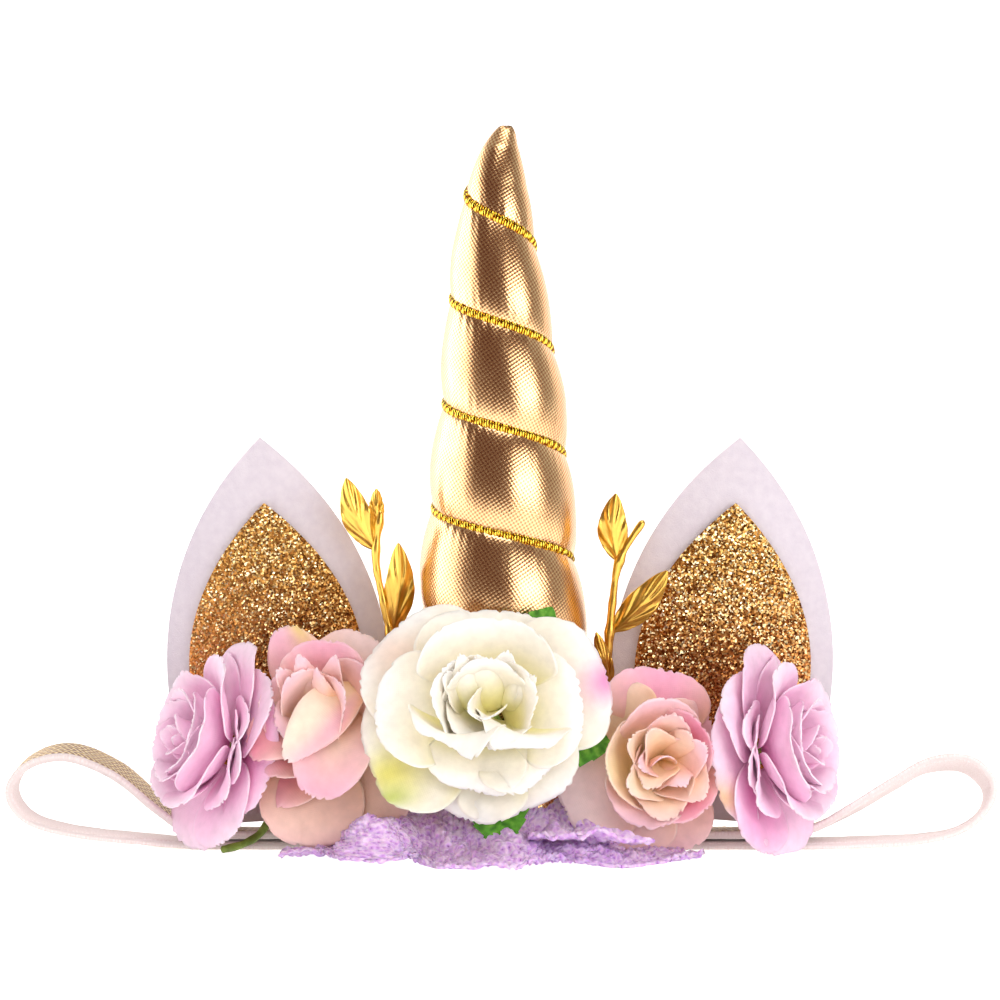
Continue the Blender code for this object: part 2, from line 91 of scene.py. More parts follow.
def add_node(tree, kind, inputs=None, stops=None, **settings):
    """Adds a node with its settings, the values or links of its sockets, and the stops of a colour ramp."""
    node = tree.nodes.new("ShaderNode" + kind)
    for name, value in settings.items():
        setattr(node, name, value)
    feed(tree, node, inputs or {})
    for number, (place, shade) in enumerate(stops or ()):
        if number > 1:
            node.color_ramp.elements.new(place)
        node.color_ramp.elements[number].position = place
        node.color_ramp.elements[number].color = shade
    return node


def new_finish(name, values):
    """A material with one Principled shader, whose even values are set on its own sockets."""
    finish = bpy.data.materials.new(name)
    finish.use_nodes = True
    shader = finish.node_tree.nodes["Principled BSDF"]
    feed(finish.node_tree, shader, values)
    return finish, finish.node_tree, shader


print("white is", colour("FFFFFF"))

# %% [markdown]
# ## Cloth grids
# Petals, lace, elastic and the horn's skin are all sheets of cloth. Each starts as Blender's grid primitive,
# whose points are moved onto a shape. The UV map keeps the millimetres of the flat cloth, so that a weave
# drawn on it has the same thread size everywhere.


# %% Grid helpers
def select_only(*pieces):
    bpy.ops.object.select_all(action="DESELECT")
    for piece in pieces:
        piece.select_set(True)
    bpy.context.view_layer.objects.active = pieces[0]


def cloth_grid(name, columns, rows, shape):
    """A grid moved onto shape(u, v), which gives points and flat places in mm, and tints or None."""
    bpy.ops.object.select_all(action="DESELECT")
    bpy.ops.mesh.primitive_grid_add(x_subdivisions=columns, y_subdivisions=rows, size=1)
    piece = bpy.context.object
    piece.name = name
    mesh = piece.data
    start = np.empty(len(mesh.vertices) * 3)
    mesh.vertices.foreach_get("co", start)
    start = start.reshape(rows + 1, columns + 1, 3) + 0.5
    points, flat, tints = shape(start[..., 0], start[..., 1])
    mesh.vertices.foreach_set("co", (points * MM).ravel())
    corners = np.empty(len(mesh.loops), dtype=int)
    mesh.loops.foreach_get("vertex_index", corners)
    mesh.uv_layers[0].data.foreach_set("uv", flat.reshape(-1, 2)[corners].ravel())
    if tints is not None:
        layer = mesh.color_attributes.new(name="tint", type="FLOAT_COLOR", domain="POINT")
        layer.data.foreach_set("color", tints.reshape(-1, 4).ravel())
    mesh.update()
    return piece


def flat_area(piece):
    """Area in square metres of the flat cloth, from the UV map."""
    mesh = piece.data
    uvs = np.empty(len(mesh.loops) * 2)
    mesh.uv_layers[0].data.foreach_get("uv", uvs)
    uvs = uvs.reshape(-1, 4, 2)
    across, along = uvs[:, 2] - uvs[:, 0], uvs[:, 3] - uvs[:, 1]
    return float(np.abs(across[:, 0] * along[:, 1] - across[:, 1] * along[:, 0]).sum() / 2) * MM * MM


def close_seams(piece, distance=0.002 * MM):
    """Merges points that meet and turns all faces outwards."""
    select_only(piece)
    bpy.ops.object.mode_set(mode="EDIT")
    bpy.ops.mesh.select_all(action="SELECT")
    bpy.ops.mesh.remove_doubles(threshold=distance)
    bpy.ops.mesh.normals_make_consistent(inside=False)
    bpy.ops.object.mode_set(mode="OBJECT")


def apply_modifier(piece, kind, **settings):
    select_only(piece)
    modifier = piece.modifiers.new(kind.lower(), kind)
    for name, value in settings.items():
        setattr(modifier, name, value)
    bpy.ops.object.modifier_apply(modifier=modifier.name)


def join(name, pieces):
    select_only(*pieces)
    if len(pieces) > 1:
        bpy.ops.object.join()
    joined = bpy.context.object
    joined.name = name
    return joined


def dress(piece, finish, nodes):
    """Gives a piece its material and record slot, and lets it stand for the plain solids."""
    piece.data.materials.clear()
    piece.data.materials.append(finish)
    select_only(piece)
    bpy.ops.object.shade_smooth()
    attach(piece, "root")
    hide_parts(*nodes)
    print(piece.name, "has", len(piece.data.polygons), "faces")


def waves(seed, *places, count=7):
    """Smooth waves in several directions, the same in each run, from about -1.5 to 1.5."""
    chance = np.random.RandomState(seed)
    total = 0
    for _ in range(count):
        directions = chance.normal(size=len(places))
        phase = chance.uniform(0, TAU)
        total = total + np.sin(sum(d * place for d, place in zip(directions, places)) + phase)
    return total / math.sqrt(count)


def ease(share):
    share = np.clip(share, 0, 1)
    return share * share * (3 - 2 * share)


def smooth_point(points, place):
    """A point on a smooth curve through points, where place counts points from 0."""
    last = len(points) - 1
    start = min(int(place), last - 1)
    t = place - start
    before, a, b, after = (points[min(max(i, 0), last)] for i in (start - 1, start, start + 1, start + 2))
    return tuple(
        0.5 * (2 * q + (r - p) * t + (2 * p - 5 * q + 4 * r - s) * t**2 + (3 * q - p - 3 * r + s) * t**3)
        for p, q, r, s in zip(before, a, b, after)
    )


def tube(name, route, radii, sides):
    """A round tube in mm along a route of points. A radius of nothing at an end closes it."""
    route = np.array(route, dtype=float)
    radii = np.broadcast_to(np.array(radii, dtype=float), len(route))
    along = np.gradient(route, axis=0)
    along /= np.linalg.norm(along, axis=1)[:, None]
    side = np.zeros_like(route)
    last = np.array((0.12, -0.98, 0.15))
    for row, direction in enumerate(along):
        last = last - direction * last.dot(direction)
        last = last / np.linalg.norm(last)
        side[row] = last
    across = np.cross(along, side)
    lengths = np.append(0, np.cumsum(np.linalg.norm(np.diff(route, axis=0), axis=1)))

    def shape(u, v):
        angle = (u * TAU)[..., None]
        ring = np.cos(angle) * side[:, None] + np.sin(angle) * across[:, None]
        points = route[:, None] + ring * radii[:, None, None]
        flat = np.stack((u * TAU * radii.max(), np.broadcast_to(lengths[:, None], u.shape)), axis=-1)
        return points, flat, None

    piece = cloth_grid(name, sides, len(route) - 1, shape)
    close_seams(piece)
    return piece


print("helpers are ready")

# %% [markdown]
# ## The horn's shape
# A real horn of this kind is a cone of gold lame, filled with wadding and wound with a braid that is pulled
# tight. The filling swells between the turns, and the cloth puckers where the braid draws it in. The grid's
# rows follow the braid round, so the groove stays crisp. Waves that die out away from the braid make the
# puckers.

# %% Horn sizes
HORN_TIP = 130.0
HORN_FOOT = 3.8
CORD_PITCH = 18.8
CORD_LEFT_HEIGHT = 98.9
GROOVE_SHARE = 0.145
MEAN_PUFF = 0.72
# Heights, and how far sideways the middle is there
MIDDLE_LINE = ((3, 60, 81, 94, 107, 119, 126, 130), (0, 0.1, 0.35, -0.25, -0.8, -0.7, 0.2, 1.1))


def horn_radius(height):
    """Mean radius, with the foot rounded under and a blunt folded tip."""
    radius = 1.58 * np.sqrt(np.maximum(HORN_TIP + 0.35 - height, 0))
    short = np.clip(1 - (height - HORN_FOOT) / 2.4, 0, 1)
    return radius - 2.4 * (1 - np.sqrt(1 - short**2))


def horn_place(angle, height, phase, lift):
    """Points on the horn, with lift in mm added to the radius."""
    swell = np.sin(np.pi * np.clip(phase, 0, 1)) ** 0.52 - MEAN_PUFF
    radius = horn_radius(height) * (1 + GROOVE_SHARE * swell) + lift
    middle = np.interp(height, *MIDDLE_LINE)
    return np.stack((middle + radius * np.cos(angle), radius * np.sin(angle), height), axis=-1)


print("mean radius at the foot", round(float(horn_radius(np.array(8.0))), 1), "mm")

# %% Horn skin
HORN_COLUMNS = 208
ROWS_PER_TURN = 36
HORN_TURNS = 9
BACK = math.pi / 2


def horn_skin(u, v):
    # Turns from height 0 to the first row at the left
    first = (CORD_LEFT_HEIGHT + 3 * CORD_PITCH) / CORD_PITCH
    angle = BACK + TAU * u
    height = CORD_PITCH * (first + 0.25 - u - v * HORN_TURNS)
    height = np.clip(height, HORN_FOOT, HORN_TIP)
    phase = ((CORD_LEFT_HEIGHT - height) / CORD_PITCH - (angle - math.pi) / TAU) % 1
    mean = horn_radius(height)
    from_cord = np.minimum(phase, 1 - phase) * CORD_PITCH
    round_it = (angle - 1.5 * math.pi) * mean
    near = np.exp(-from_cord / 2.6)
    small = np.clip(mean / 9, 0.25, 1)
    puckers = waves(3, round_it * 2.1, from_cord * 0.25, height * 0.12) * near * 0.07
    soft = waves(8, np.cos(angle) * mean / 4, np.sin(angle) * mean / 4, height / 5) * 0.1
    closed = np.clip((HORN_TIP - height) / 2.2, 0, 1)
    lift = (puckers + soft) * small * closed
    points = horn_place(angle, height, phase, lift)
    ends = (height >= HORN_TIP) | (height <= HORN_FOOT)
    middle = np.interp(height, *MIDDLE_LINE)
    points[..., 0] = np.where(ends, middle, points[..., 0])
    points[..., 1] = np.where(ends, 0, points[..., 1])
    squeeze = np.clip(1 - (HORN_TIP - height) / 4, 0, 1) * 0.55
    points[..., 1] *= 1 - squeeze
    bias = math.radians(12)
    across = round_it * math.cos(bias) - height * math.sin(bias)
    upwards = round_it * math.sin(bias) + height * math.cos(bias)
    return points, np.stack((across, upwards), axis=-1), None


stuffed_horn = cloth_grid("stuffed_horn", HORN_COLUMNS, ROWS_PER_TURN * HORN_TURNS, horn_skin)
close_seams(stuffed_horn, 0.01 * MM)
print("horn skin has", len(stuffed_horn.data.vertices), "points")

# %% [markdown]
# ## Gold lame
# Lame is a plain weave whose threads are wrapped in gold foil, so it shines like metal, broken up into tiny
# dots. Two crossed sine waves on the flat cloth's millimetres make the weave, which sets both the bump and
# the darker gaps between threads.

# %% Lame finish
lame, tree, shader = new_finish("gold foil lame, plain weave", {"Metallic": 1.0, "Roughness": 0.23})
flat_place = add_node(tree, "UVMap", uv_map="UVMap")
split = add_node(tree, "SeparateXYZ", {0: flat_place})
THREAD = 0.42  # mm between threads, drawn coarse so that they show
warp = add_node(tree, "Math", {0: split, 1: math.pi / THREAD}, operation="MULTIPLY")
weft = add_node(tree, "Math", {0: split.outputs[1], 1: math.pi / THREAD}, operation="MULTIPLY")
warp_wave = add_node(tree, "Math", {0: warp}, operation="SINE")
weft_wave = add_node(tree, "Math", {0: weft}, operation="SINE")
crossing = add_node(tree, "Math", {0: warp_wave, 1: weft_wave}, operation="MULTIPLY")
weave = add_node(tree, "Math", {0: crossing, 1: 0.5, 2: 0.5}, operation="MULTIPLY_ADD")
object_place = add_node(tree, "TexCoord")
patches = add_node(tree, "TexNoise", {"Vector": object_place.outputs["Object"], "Scale": 260.0})
worn = add_node(tree, "Math", {0: patches.outputs["Fac"], 1: 0.3, 2: weave}, operation="MULTIPLY_ADD")
foil = add_node(
    tree,
    "ValToRGB",
    {0: worn},
    stops=((0.15, colour("B0704A")), (0.5, colour("E2AE78")), (1.0, colour("F6D6A4"))),
)
relief = add_node(tree, "Bump", {"Height": weave, "Distance": 0.05 * MM, "Strength": 0.5})
feed(tree, shader, {"Base Color": foil, "Normal": relief})
dress(stuffed_horn, lame, ["horn"])

# %% [markdown]
# ## The braid
# The cord is three gold strands twisted together. Each strand is a thin tube that circles the cord's own
# middle line once in 2.1 mm, and the middle line lies in the horn's groove.

# %% Wind the braid
CORD_TOP = 121.0
CORD_LOW = 7.0
STRAND_TURN = 2.1
cord_start = (CORD_LEFT_HEIGHT - CORD_TOP) / CORD_PITCH
cord_end = (CORD_LEFT_HEIGHT - CORD_LOW) / CORD_PITCH
turns = np.linspace(cord_start, cord_end, 2300)
cord_angle = math.pi + TAU * turns
cord_height = CORD_LEFT_HEIGHT - CORD_PITCH * turns
middle_of_cord = horn_place(cord_angle, cord_height, np.zeros_like(turns), 0.2)
steps = np.linalg.norm(np.diff(middle_of_cord, axis=0), axis=1)
cord_length = np.append(0, np.cumsum(steps))
outwards = np.stack((np.cos(cord_angle), np.sin(cord_angle), 0 * turns), axis=-1)
forwards = np.gradient(middle_of_cord, axis=0)
forwards /= np.linalg.norm(forwards, axis=1)[:, None]
sideways = np.cross(forwards, outwards)
tuck = ease(cord_length / 3) * ease((cord_length[-1] - cord_length) / 3)
strands = []
for number in range(3):
    lay = TAU * (cord_length / STRAND_TURN + number / 3)
    circling = outwards * np.cos(lay)[:, None] * 0.3 + sideways * np.sin(lay)[:, None] * 0.52
    radii = np.where((cord_length == 0) | (cord_length == cord_length[-1]), 0, 0.4)
    strands.append(tube(f"strand_{number}", middle_of_cord + circling * tuck[:, None], radii, 6))
braid = join("horn_braid", strands)
print("the braid is", round(cord_length[-1]), "mm long")

# %% [markdown]
# ## Gold thread
# The strands are wrapped in yellow metallised film. Fine slanting wraps, drawn as coarse as 0.6 mm so that
# they show, break the highlight into sparks between deep orange gaps.

# %% Braid finish
thread, tree, shader = new_finish("metallised film thread", {"Metallic": 1.0, "Roughness": 0.24})
flat_place = add_node(tree, "UVMap", uv_map="UVMap")
slant = add_node(tree, "Mapping", {"Vector": flat_place, "Rotation": (0, 0, math.radians(38))})
wraps = add_node(tree, "TexWave", {"Vector": slant, "Scale": TAU / 20 / 0.6, "Distortion": 0.6})
film = add_node(
    tree,
    "ValToRGB",
    {0: wraps.outputs["Fac"]},
    stops=((0.25, colour("703004")), (0.5, colour("EEAE0C")), (0.85, colour("FFF060"))),
)
relief = add_node(tree, "Bump", {"Height": wraps.outputs["Fac"], "Distance": 0.06 * MM, "Strength": 0.8})
feed(tree, shader, {"Base Color": film, "Normal": relief})
dress(braid, thread, ["horn_cord"])

# %% [markdown]
# ## The ears
# Each ear is two cut shapes: thick white felt, and a smaller glitter sheet glued on its front. Both are
# grids shaped to the cut outline and cupped round an upright line, then given their thickness with Solidify.
# A narrow bevel softens the felt's cut edge.

# %% Ear shapes
EAR_X = 38.3
EAR_LEAN = 4.3
EAR_CUP_RADIUS = 52.0
FELT_OUTLINE = {"tip": 69.3, "widest": 26.3, "half_width": 20.0, "foot": 0.0, "pinch": 0.03}
GLITTER_OUTLINE = {"tip": 57.4, "widest": 28.0, "half_width": 16.2, "foot": 6.0, "pinch": 0.28}


def half_width(outline, height):
    """Half the breadth of an ear at a height above its foot: two arcs that meet in a straightened tip."""
    rise = outline["tip"] - outline["widest"]
    arc = (rise**2 + outline["half_width"] ** 2) / (2 * outline["half_width"])
    reach = np.maximum(arc**2 - (height - outline["widest"]) ** 2, 0)
    straighten = 1 - outline["pinch"] * np.exp((height - outline["tip"]) / 12)
    return np.maximum(np.sqrt(reach) - (arc - outline["half_width"]), 0) * straighten


def ear_layer(name, outline, front, thickness, side, columns, rows, edge):
    """One layer of an ear, leaning outwards, with its edge rounded over."""
    lean = math.radians(EAR_LEAN)
    lift = HORN_FOOT + float(half_width(FELT_OUTLINE, 0.0)) * math.sin(lean)

    def shape(u, v):
        height = outline["foot"] + np.sin(v * math.pi / 2) * (outline["tip"] - outline["foot"])
        x = (2 * u - 1) * half_width(outline, height)
        y = front + thickness / 2 + x * x / (2 * EAR_CUP_RADIUS) + 0.12 * waves(5 + side, x / 6, height / 6)
        turned_x = x * math.cos(lean) + side * height * math.sin(lean)
        turned_z = height * math.cos(lean) - side * x * math.sin(lean)
        points = np.stack((side * EAR_X + turned_x, y, lift + turned_z), axis=-1)
        return points, np.stack((x, height), axis=-1), None

    piece = cloth_grid(name, columns, rows, shape)
    area = flat_area(piece)
    close_seams(piece)
    apply_modifier(piece, "SOLIDIFY", thickness=thickness * MM, offset=0, use_even_offset=True)
    sharp = math.radians(50)
    apply_modifier(piece, "BEVEL", width=edge * MM, segments=3, limit_method="ANGLE", angle_limit=sharp)
    return piece, area


ears = []
for side_name, side in (("left", -1), ("right", 1)):
    felt_layer, felt_area = ear_layer(f"{side_name}_felt", FELT_OUTLINE, 3.2, 1.8, side, 40, 60, 0.55)
    glitter_layer, glitter_area = ear_layer(
        f"{side_name}_glitter", GLITTER_OUTLINE, 1.75, 1.0, side, 36, 50, 0.2
    )
    ears.append((side_name, felt_layer, felt_area, glitter_layer, glitter_area))
print("felt ear area", round(felt_area * 1e6), "square mm")

# %% [markdown]
# ## Felt and glitter
# Felt is matted polyester wool: dull, with a soft light rim and fine fibres in all directions. Glitter sheet
# is covered in flat hexagonal flakes of foil, 0.3 mm across, each lying at its own angle. A Voronoi pattern
# gives each flake a number, and that number sets both its colour and how its surface is tilted.

# %% Felt finish
felt, tree, shader = new_finish(
    "white polyester felt",
    {"Roughness": 0.95, "Sheen Weight": 0.35, "Sheen Roughness": 0.5, "Specular IOR Level": 0.2},
)
object_place = add_node(tree, "TexCoord")
fibres = add_node(
    tree,
    "TexNoise",
    {"Vector": object_place.outputs["Object"], "Scale": 2600.0, "Detail": 3.0, "Distortion": 1.5},
)
clouds = add_node(
    tree, "TexNoise", {"Vector": object_place.outputs["Object"], "Scale": 700.0, "Detail": 5.0}
)
wool = add_node(
    tree, "ValToRGB", {0: clouds.outputs["Fac"]}, stops=((0.3, colour("D6CED8")), (0.7, colour("DED7DF")))
)
relief = add_node(tree, "Bump", {"Height": fibres.outputs["Fac"], "Distance": 0.12 * MM, "Strength": 0.6})
feed(tree, shader, {"Base Color": wool, "Normal": relief})

# %% Glitter finish
glitter, tree, shader = new_finish("gold foil glitter sheet", {"Metallic": 0.9, "Roughness": 0.3})
FLAKE = 0.3  # mm across a flake
object_place = add_node(tree, "TexCoord")
flakes = add_node(tree, "TexVoronoi", {"Vector": object_place.outputs["Object"], "Scale": 1 / (FLAKE * MM)})
flake_number = add_node(tree, "SeparateColor", {0: flakes.outputs["Color"]})
flake_colour = add_node(
    tree,
    "ValToRGB",
    {0: flake_number},
    stops=(
        (0.0, colour("6A3F1A")),
        (0.3, colour("A86F30")),
        (0.62, colour("D09A4C")),
        (0.86, colour("F0D08A")),
        (0.97, colour("FFF6D0")),
    ),
)
copper_colour = add_node(
    tree,
    "ValToRGB",
    {0: flake_number},
    stops=(
        (0.0, colour("6B3115")), (0.35, colour("A85A2C")), (0.75, colour("D08A52")), (0.97, colour("FCE3A8"))
    ),
)
split = add_node(tree, "SeparateXYZ", {0: object_place.outputs["Object"]})
low_down = add_node(tree, "MapRange", {0: split.outputs[2], 1: 0.028, 2: 0.052, 3: 0.8, 4: 0.0})
flake_mix = add_node(tree, "Mix", {0: low_down, 6: flake_colour, 7: copper_colour}, data_type="RGBA")
centred = add_node(
    tree, "VectorMath", {0: flakes.outputs["Color"], 1: (0.5, 0.5, 0.5)}, operation="SUBTRACT"
)
tilt = add_node(tree, "VectorMath", {0: centred, "Scale": 1.1}, operation="SCALE")
surface = add_node(tree, "NewGeometry")
tilted = add_node(tree, "VectorMath", {0: surface.outputs["Normal"], 1: tilt}, operation="ADD")
flake_normal = add_node(tree, "VectorMath", {0: tilted}, operation="NORMALIZE")
feed(tree, shader, {"Base Color": flake_mix.outputs[2], "Normal": flake_normal})

# %% Dress the ears
for side_name, felt_layer, felt_area, glitter_layer, glitter_area in ears:
    dress(felt_layer, felt, [f"{side_name}_ear_felt"])
    dress(glitter_layer, glitter, [f"{side_name}_ear_glitter"])

# %% [markdown]
# ## The sprigs
# The two gilt sprigs are cast in one piece: a knobbly stem and pressed leaves with raised ribs. The stem is
# a tube whose radius swells at each joint. A leaf is a grid drawn out to a pointed oval, with its ribs
# pushed up and its margin bent, thickened with Solidify and rounded by one subdivision.

# %% Sprig tables
# Wire of each sprig from its foot up, and its leaves, all in mm
SPRIGS = {
    "left_sprig": {
        "wire": (
            (-20.6, 0, 3.85),
            (-20.4, -0.5, 20),
            (-19.2, -1, 34),
            (-20.8, -1, 43.5),
            (-22.3, -1, 52),
            (-21.4, -1, 61),
        ),
        "leaves": (
            {
                "stalk": (-22.2, -1, 53.6),
                "tip": (-27.6, -2.6, 66.6),
                "breadth": 5.6,
                "bow": -0.9,
                "fold": 0.9,
            },
            {
                "stalk": (-21.6, -1, 58.6),
                "tip": (-22.2, -0.2, 64.6),
                "breadth": 2.6,
                "bow": -0.3,
                "fold": 0.5,
            },
            {"stalk": (-19.4, -1, 38.6), "tip": (-18.2, -3.4, 55), "breadth": 5.4, "bow": 0.8, "fold": 1.2},
        ),
    },
    "right_sprig": {
        "wire": (
            (20.6, 0, 3.85), (20, -0.5, 20), (19.4, -1, 33), (20.2, -1, 44), (21.6, -1, 52), (25.9, -1, 59)
        ),
        "leaves": (
            {"stalk": (21.2, -1, 51.6), "tip": (20.8, -2.4, 63.8), "breadth": 5.4, "bow": -0.8, "fold": 0.9},
            {"stalk": (20.2, -1, 39), "tip": (30, -3.2, 50), "breadth": 5.4, "bow": 0.6, "fold": 0.9},
            {"stalk": (19.8, -1, 28), "tip": (17.2, -3.4, 39), "breadth": 3, "bow": 0.2, "fold": 0.6},
        ),
    },
}


def pressed_leaf(name, leaf):
    """A pointed oval with a raised middle rib and a few long side ribs that curve up from it."""
    stalk, tip = np.array(leaf["stalk"], dtype=float), np.array(leaf["tip"], dtype=float)
    along = tip - stalk
    facing = np.array((0.0, -1.0, 0.0))
    aside = np.cross(along, facing)
    aside /= np.linalg.norm(aside)
    facing = np.cross(aside, along)
    facing /= np.linalg.norm(facing)

    def shape(u, v):
        side = 2 * u - 1
        swell = np.sin(math.pi * v)
        half = 0.5 * leaf["breadth"] * np.sin(math.pi * v**0.85) ** 0.8
        half = np.maximum(half, 0.45 * (1 - v))
        rib = 0.32 * np.exp(-((side * half / 0.34) ** 2))
        veins = 0.5 + 0.5 * np.cos(TAU * (v * 2.6 - 1.5 * np.abs(side) ** 0.8))
        side_ribs = 0.5 * veins**5 * swell * np.clip(np.abs(side) * 3, 0, 1)
        wavy = 0.3 * np.sin(TAU * v * 2.3 + side) * np.abs(side) ** 2 * swell
        height = rib + side_ribs + wavy - leaf["fold"] * np.abs(side) ** 1.4 * swell + 0.9 * swell - 0.5
        points = stalk + along * v[..., None] + aside * (side * half + leaf["bow"] * swell)[..., None]
        points = points + facing * height[..., None]
        flat = np.stack((side * half, v * np.linalg.norm(along)), axis=-1)
        return points, flat, None

    blade = cloth_grid(name, 18, 40, shape)
    close_seams(blade)
    apply_modifier(blade, "SOLIDIFY", thickness=0.5 * MM, offset=0)
    apply_modifier(blade, "SUBSURF", levels=1, render_levels=1)
    return blade


def sprig(name, form):
    steps = 14
    count = steps * (len(form["wire"]) - 1)
    route = [smooth_point(form["wire"], step / steps) for step in range(count + 1)]
    joints = [leaf["stalk"][2] for leaf in form["leaves"]]
    radii = []
    for number, (x, y, z) in enumerate(route):
        swollen = sum(math.exp(-(((z - joint) / 1.2) ** 2)) for joint in joints)
        knobbly = 0.06 * math.sin(z * 0.9) + 0.03 * math.sin(z * 2.3 + 1)
        radii.append(0.85 - 0.25 * (number / count) + 0.3 * swollen + knobbly)
    radii[0] = 0
    radii[-1] = 0
    radii[-2] *= 0.8
    wire = tube(name, route, radii, 14)
    blades = [pressed_leaf(f"{name}_leaf_{n}", leaf) for n, leaf in enumerate(form["leaves"])]
    return join(f"gilt_{name}", [wire, *blades])


gilt_sprigs = [sprig(name, form) for name, form in SPRIGS.items()]

# %% [markdown]
# ## Gilt metal
# The sprigs are plated castings: bright yellow, and coppery in grainy patches that grow stronger towards the
# bottom of the sprigs.

# %% Gilt finish
gilt, tree, shader = new_finish("gold plated casting", {"Metallic": 1.0, "Roughness": 0.3})
object_place = add_node(tree, "TexCoord")
grain = add_node(tree, "TexNoise", {"Vector": object_place.outputs["Object"], "Scale": 900.0, "Detail": 4.0})
split = add_node(tree, "SeparateXYZ", {0: object_place.outputs["Object"]})
low_down = add_node(tree, "MapRange", {0: split.outputs[2], 1: 0.034, 2: 0.05, 3: 0.75, 4: 0.0})
coppery_share = add_node(tree, "Math", {0: low_down, 1: grain.outputs["Fac"]}, operation="MULTIPLY")
plating = add_node(tree, "Mix", {0: coppery_share, 6: colour("F0C45C"), 7: colour("B0602C")}, data_type="RGBA")
relief = add_node(tree, "Bump", {"Height": grain.outputs["Fac"], "Distance": 0.1 * MM, "Strength": 0.25})
feed(tree, shader, {"Base Color": plating.outputs[2], "Normal": relief})
for piece, node in zip(gilt_sprigs, SPRIGS):
    dress(piece, gilt, [node])

# %% [markdown]
# ## How a petal is shaped
# A fabric petal is cut flat, then pressed over a hot ball so that it cups, and its rim is rolled back. The
# grid's rows run from root to rim. The slope of the petal's middle line changes on the way and turns back at
# the rim, and each row bends sideways with the cup's radius, with its sides rolled back. Waves ruffle the
# rim.

# %% Petal shape
PETAL_GRID = (38, 22)
PETAL_THICK = 0.26
TABLE_GAP = 0.15  # mm from the table to the middle of a petal that lies on it
PETAL_COLUMNS = (
    # round, root and depth place the petal's root, in degrees and mm. Slopes: 0 lies open, 90 stands up.
    "round",
    "root",
    "depth",
    "length",
    "half",
    "slope_root",
    "slope_rim",
    "rim_roll",
    "cup",
    "side_roll",
    "twist",
    "point",
    "across",
    "upwards",
)


def petal_place(petal, u, v, seed):
    """Points in mm in the rose's own axes, and the flat places and how far each point is out to the rim."""
    side = 2 * u - 1
    grow = 0.3 + 0.7 * np.sin(np.clip(v / 0.72, 0, 1) * math.pi / 2)
    width = petal["half"] * grow * (1 - 0.16 * np.clip((v - 0.72) / 0.28, 0, 1) ** 2)
    droop = 0.2 + 0.25 * petal["point"]
    rise = v * (1 - droop * np.abs(side) ** (2.6 - 1.2 * petal["point"]))
    chance = np.random.RandomState(seed)
    nicks = np.where(chance.uniform(size=u.shape[1]) < 0.16, -0.3, 0)
    frayed = (chance.uniform(-0.08, 0.08, size=u.shape[1]) + nicks) * ease((v - 0.95) / 0.05)
    rise = rise + frayed / petal["length"] * 1.4
    across = side * width
    share = np.linspace(0, 1.05, 80)
    slope = petal["slope_root"] + (petal["slope_rim"] - petal["slope_root"]) * ease(share / 0.8)
    slope = np.radians(slope - petal["rim_roll"] * ease((share - 0.66) / 0.34))
    step = share[1] * petal["length"]
    out = petal["root"] + np.cumsum(np.cos(slope)) * step
    up = petal["depth"] + np.cumsum(np.sin(slope)) * step
    here = np.interp(rise, share, slope)
    radial, height = np.interp(rise, share, out), np.interp(rise, share, up)
    bend = across / petal["cup"]
    rolled = math.radians(petal["side_roll"]) * ease((np.abs(side) - 0.5) / 0.5)
    rolled = rolled * np.clip(rise * 1.6 - 0.3, 0, 1)
    bend = bend - np.sign(side) * rolled
    middle = side.shape[1] // 2
    along = np.diff(across, axis=1)
    halfway = (bend[:, 1:] + bend[:, :-1]) / 2
    zero = np.zeros((side.shape[0], 1))
    wide = np.concatenate((zero, np.cumsum(np.cos(halfway) * along, axis=1)), axis=1)
    deep = np.concatenate((zero, np.cumsum(np.sin(halfway) * along, axis=1)), axis=1)
    wide = wide - wide[:, middle : middle + 1]
    deep = deep - deep[:, middle : middle + 1]
    ruffle = 0.3 * waves(seed, across / 2.4, rise * petal["length"] / 3.2) * rise**1.5
    crinkle = 0.07 * waves(seed + 50, across / 0.7, rise * petal["length"] / 1.6) * rise
    deep = deep + (ruffle + crinkle) * min(petal["half"] / 8, 1)
    twist = math.radians(petal["twist"]) * rise
    wide, deep = wide * np.cos(twist) - deep * np.sin(twist), wide * np.sin(twist) + deep * np.cos(twist)
    radial = radial - np.sin(here) * deep
    height = height + np.cos(here) * deep
    turn = math.radians(petal["round"])
    points = np.stack(
        (
            petal["across"] + radial * math.cos(turn) - wide * math.sin(turn),
            petal["upwards"] + radial * math.sin(turn) + wide * math.cos(turn),
            height,
        ),
        axis=-1,
    )
    flat = np.stack((across, rise * petal["length"]), axis=-1)
    return points, flat, rise, side


def petal_tint(palette, patches, rise, side, seed):
    """Colours from root to rim, streaked along the petal, with patches of dye, the deep pink ones partly
    painted shade.
    """
    root, body, rim = (np.array(colour(palette[part])) for part in ("root", "body", "rim"))
    streaks = 0.12 * waves(seed + 9, side * 3, rise * 0.8)
    from_root = ease((rise + streaks) / palette["root_share"])[..., None]
    near_rim = ease((rise + streaks * 0.5 - 0.72) / 0.28)[..., None]
    tint = root * (1 - from_root) + body * from_root
    tint = tint * (1 - near_rim) + rim * near_rim
    # Patches of dye. The deep pink ones low on the petals are partly painted shade.
    for place_side, place_rise, size, strength, code in patches:
        away = ((side - place_side) / size) ** 2 + ((rise - place_rise) / (0.8 * size)) ** 2
        blend = (strength * np.exp(-away * (1 + 0.3 * streaks)))[..., None]
        tint = tint * (1 - blend) + np.array(colour(code)) * blend
    broken = 0.3 + 0.16 * waves(seed + 77, side * 9, rise * 5)
    edge = (broken * np.maximum(ease((rise - 0.95) / 0.04), ease((np.abs(side) - 0.96) / 0.04)))[..., None]
    return tint * (1 - edge) + np.array(colour(palette["edge"])) * edge


print("a petal has", len(PETAL_COLUMNS), "named sizes")

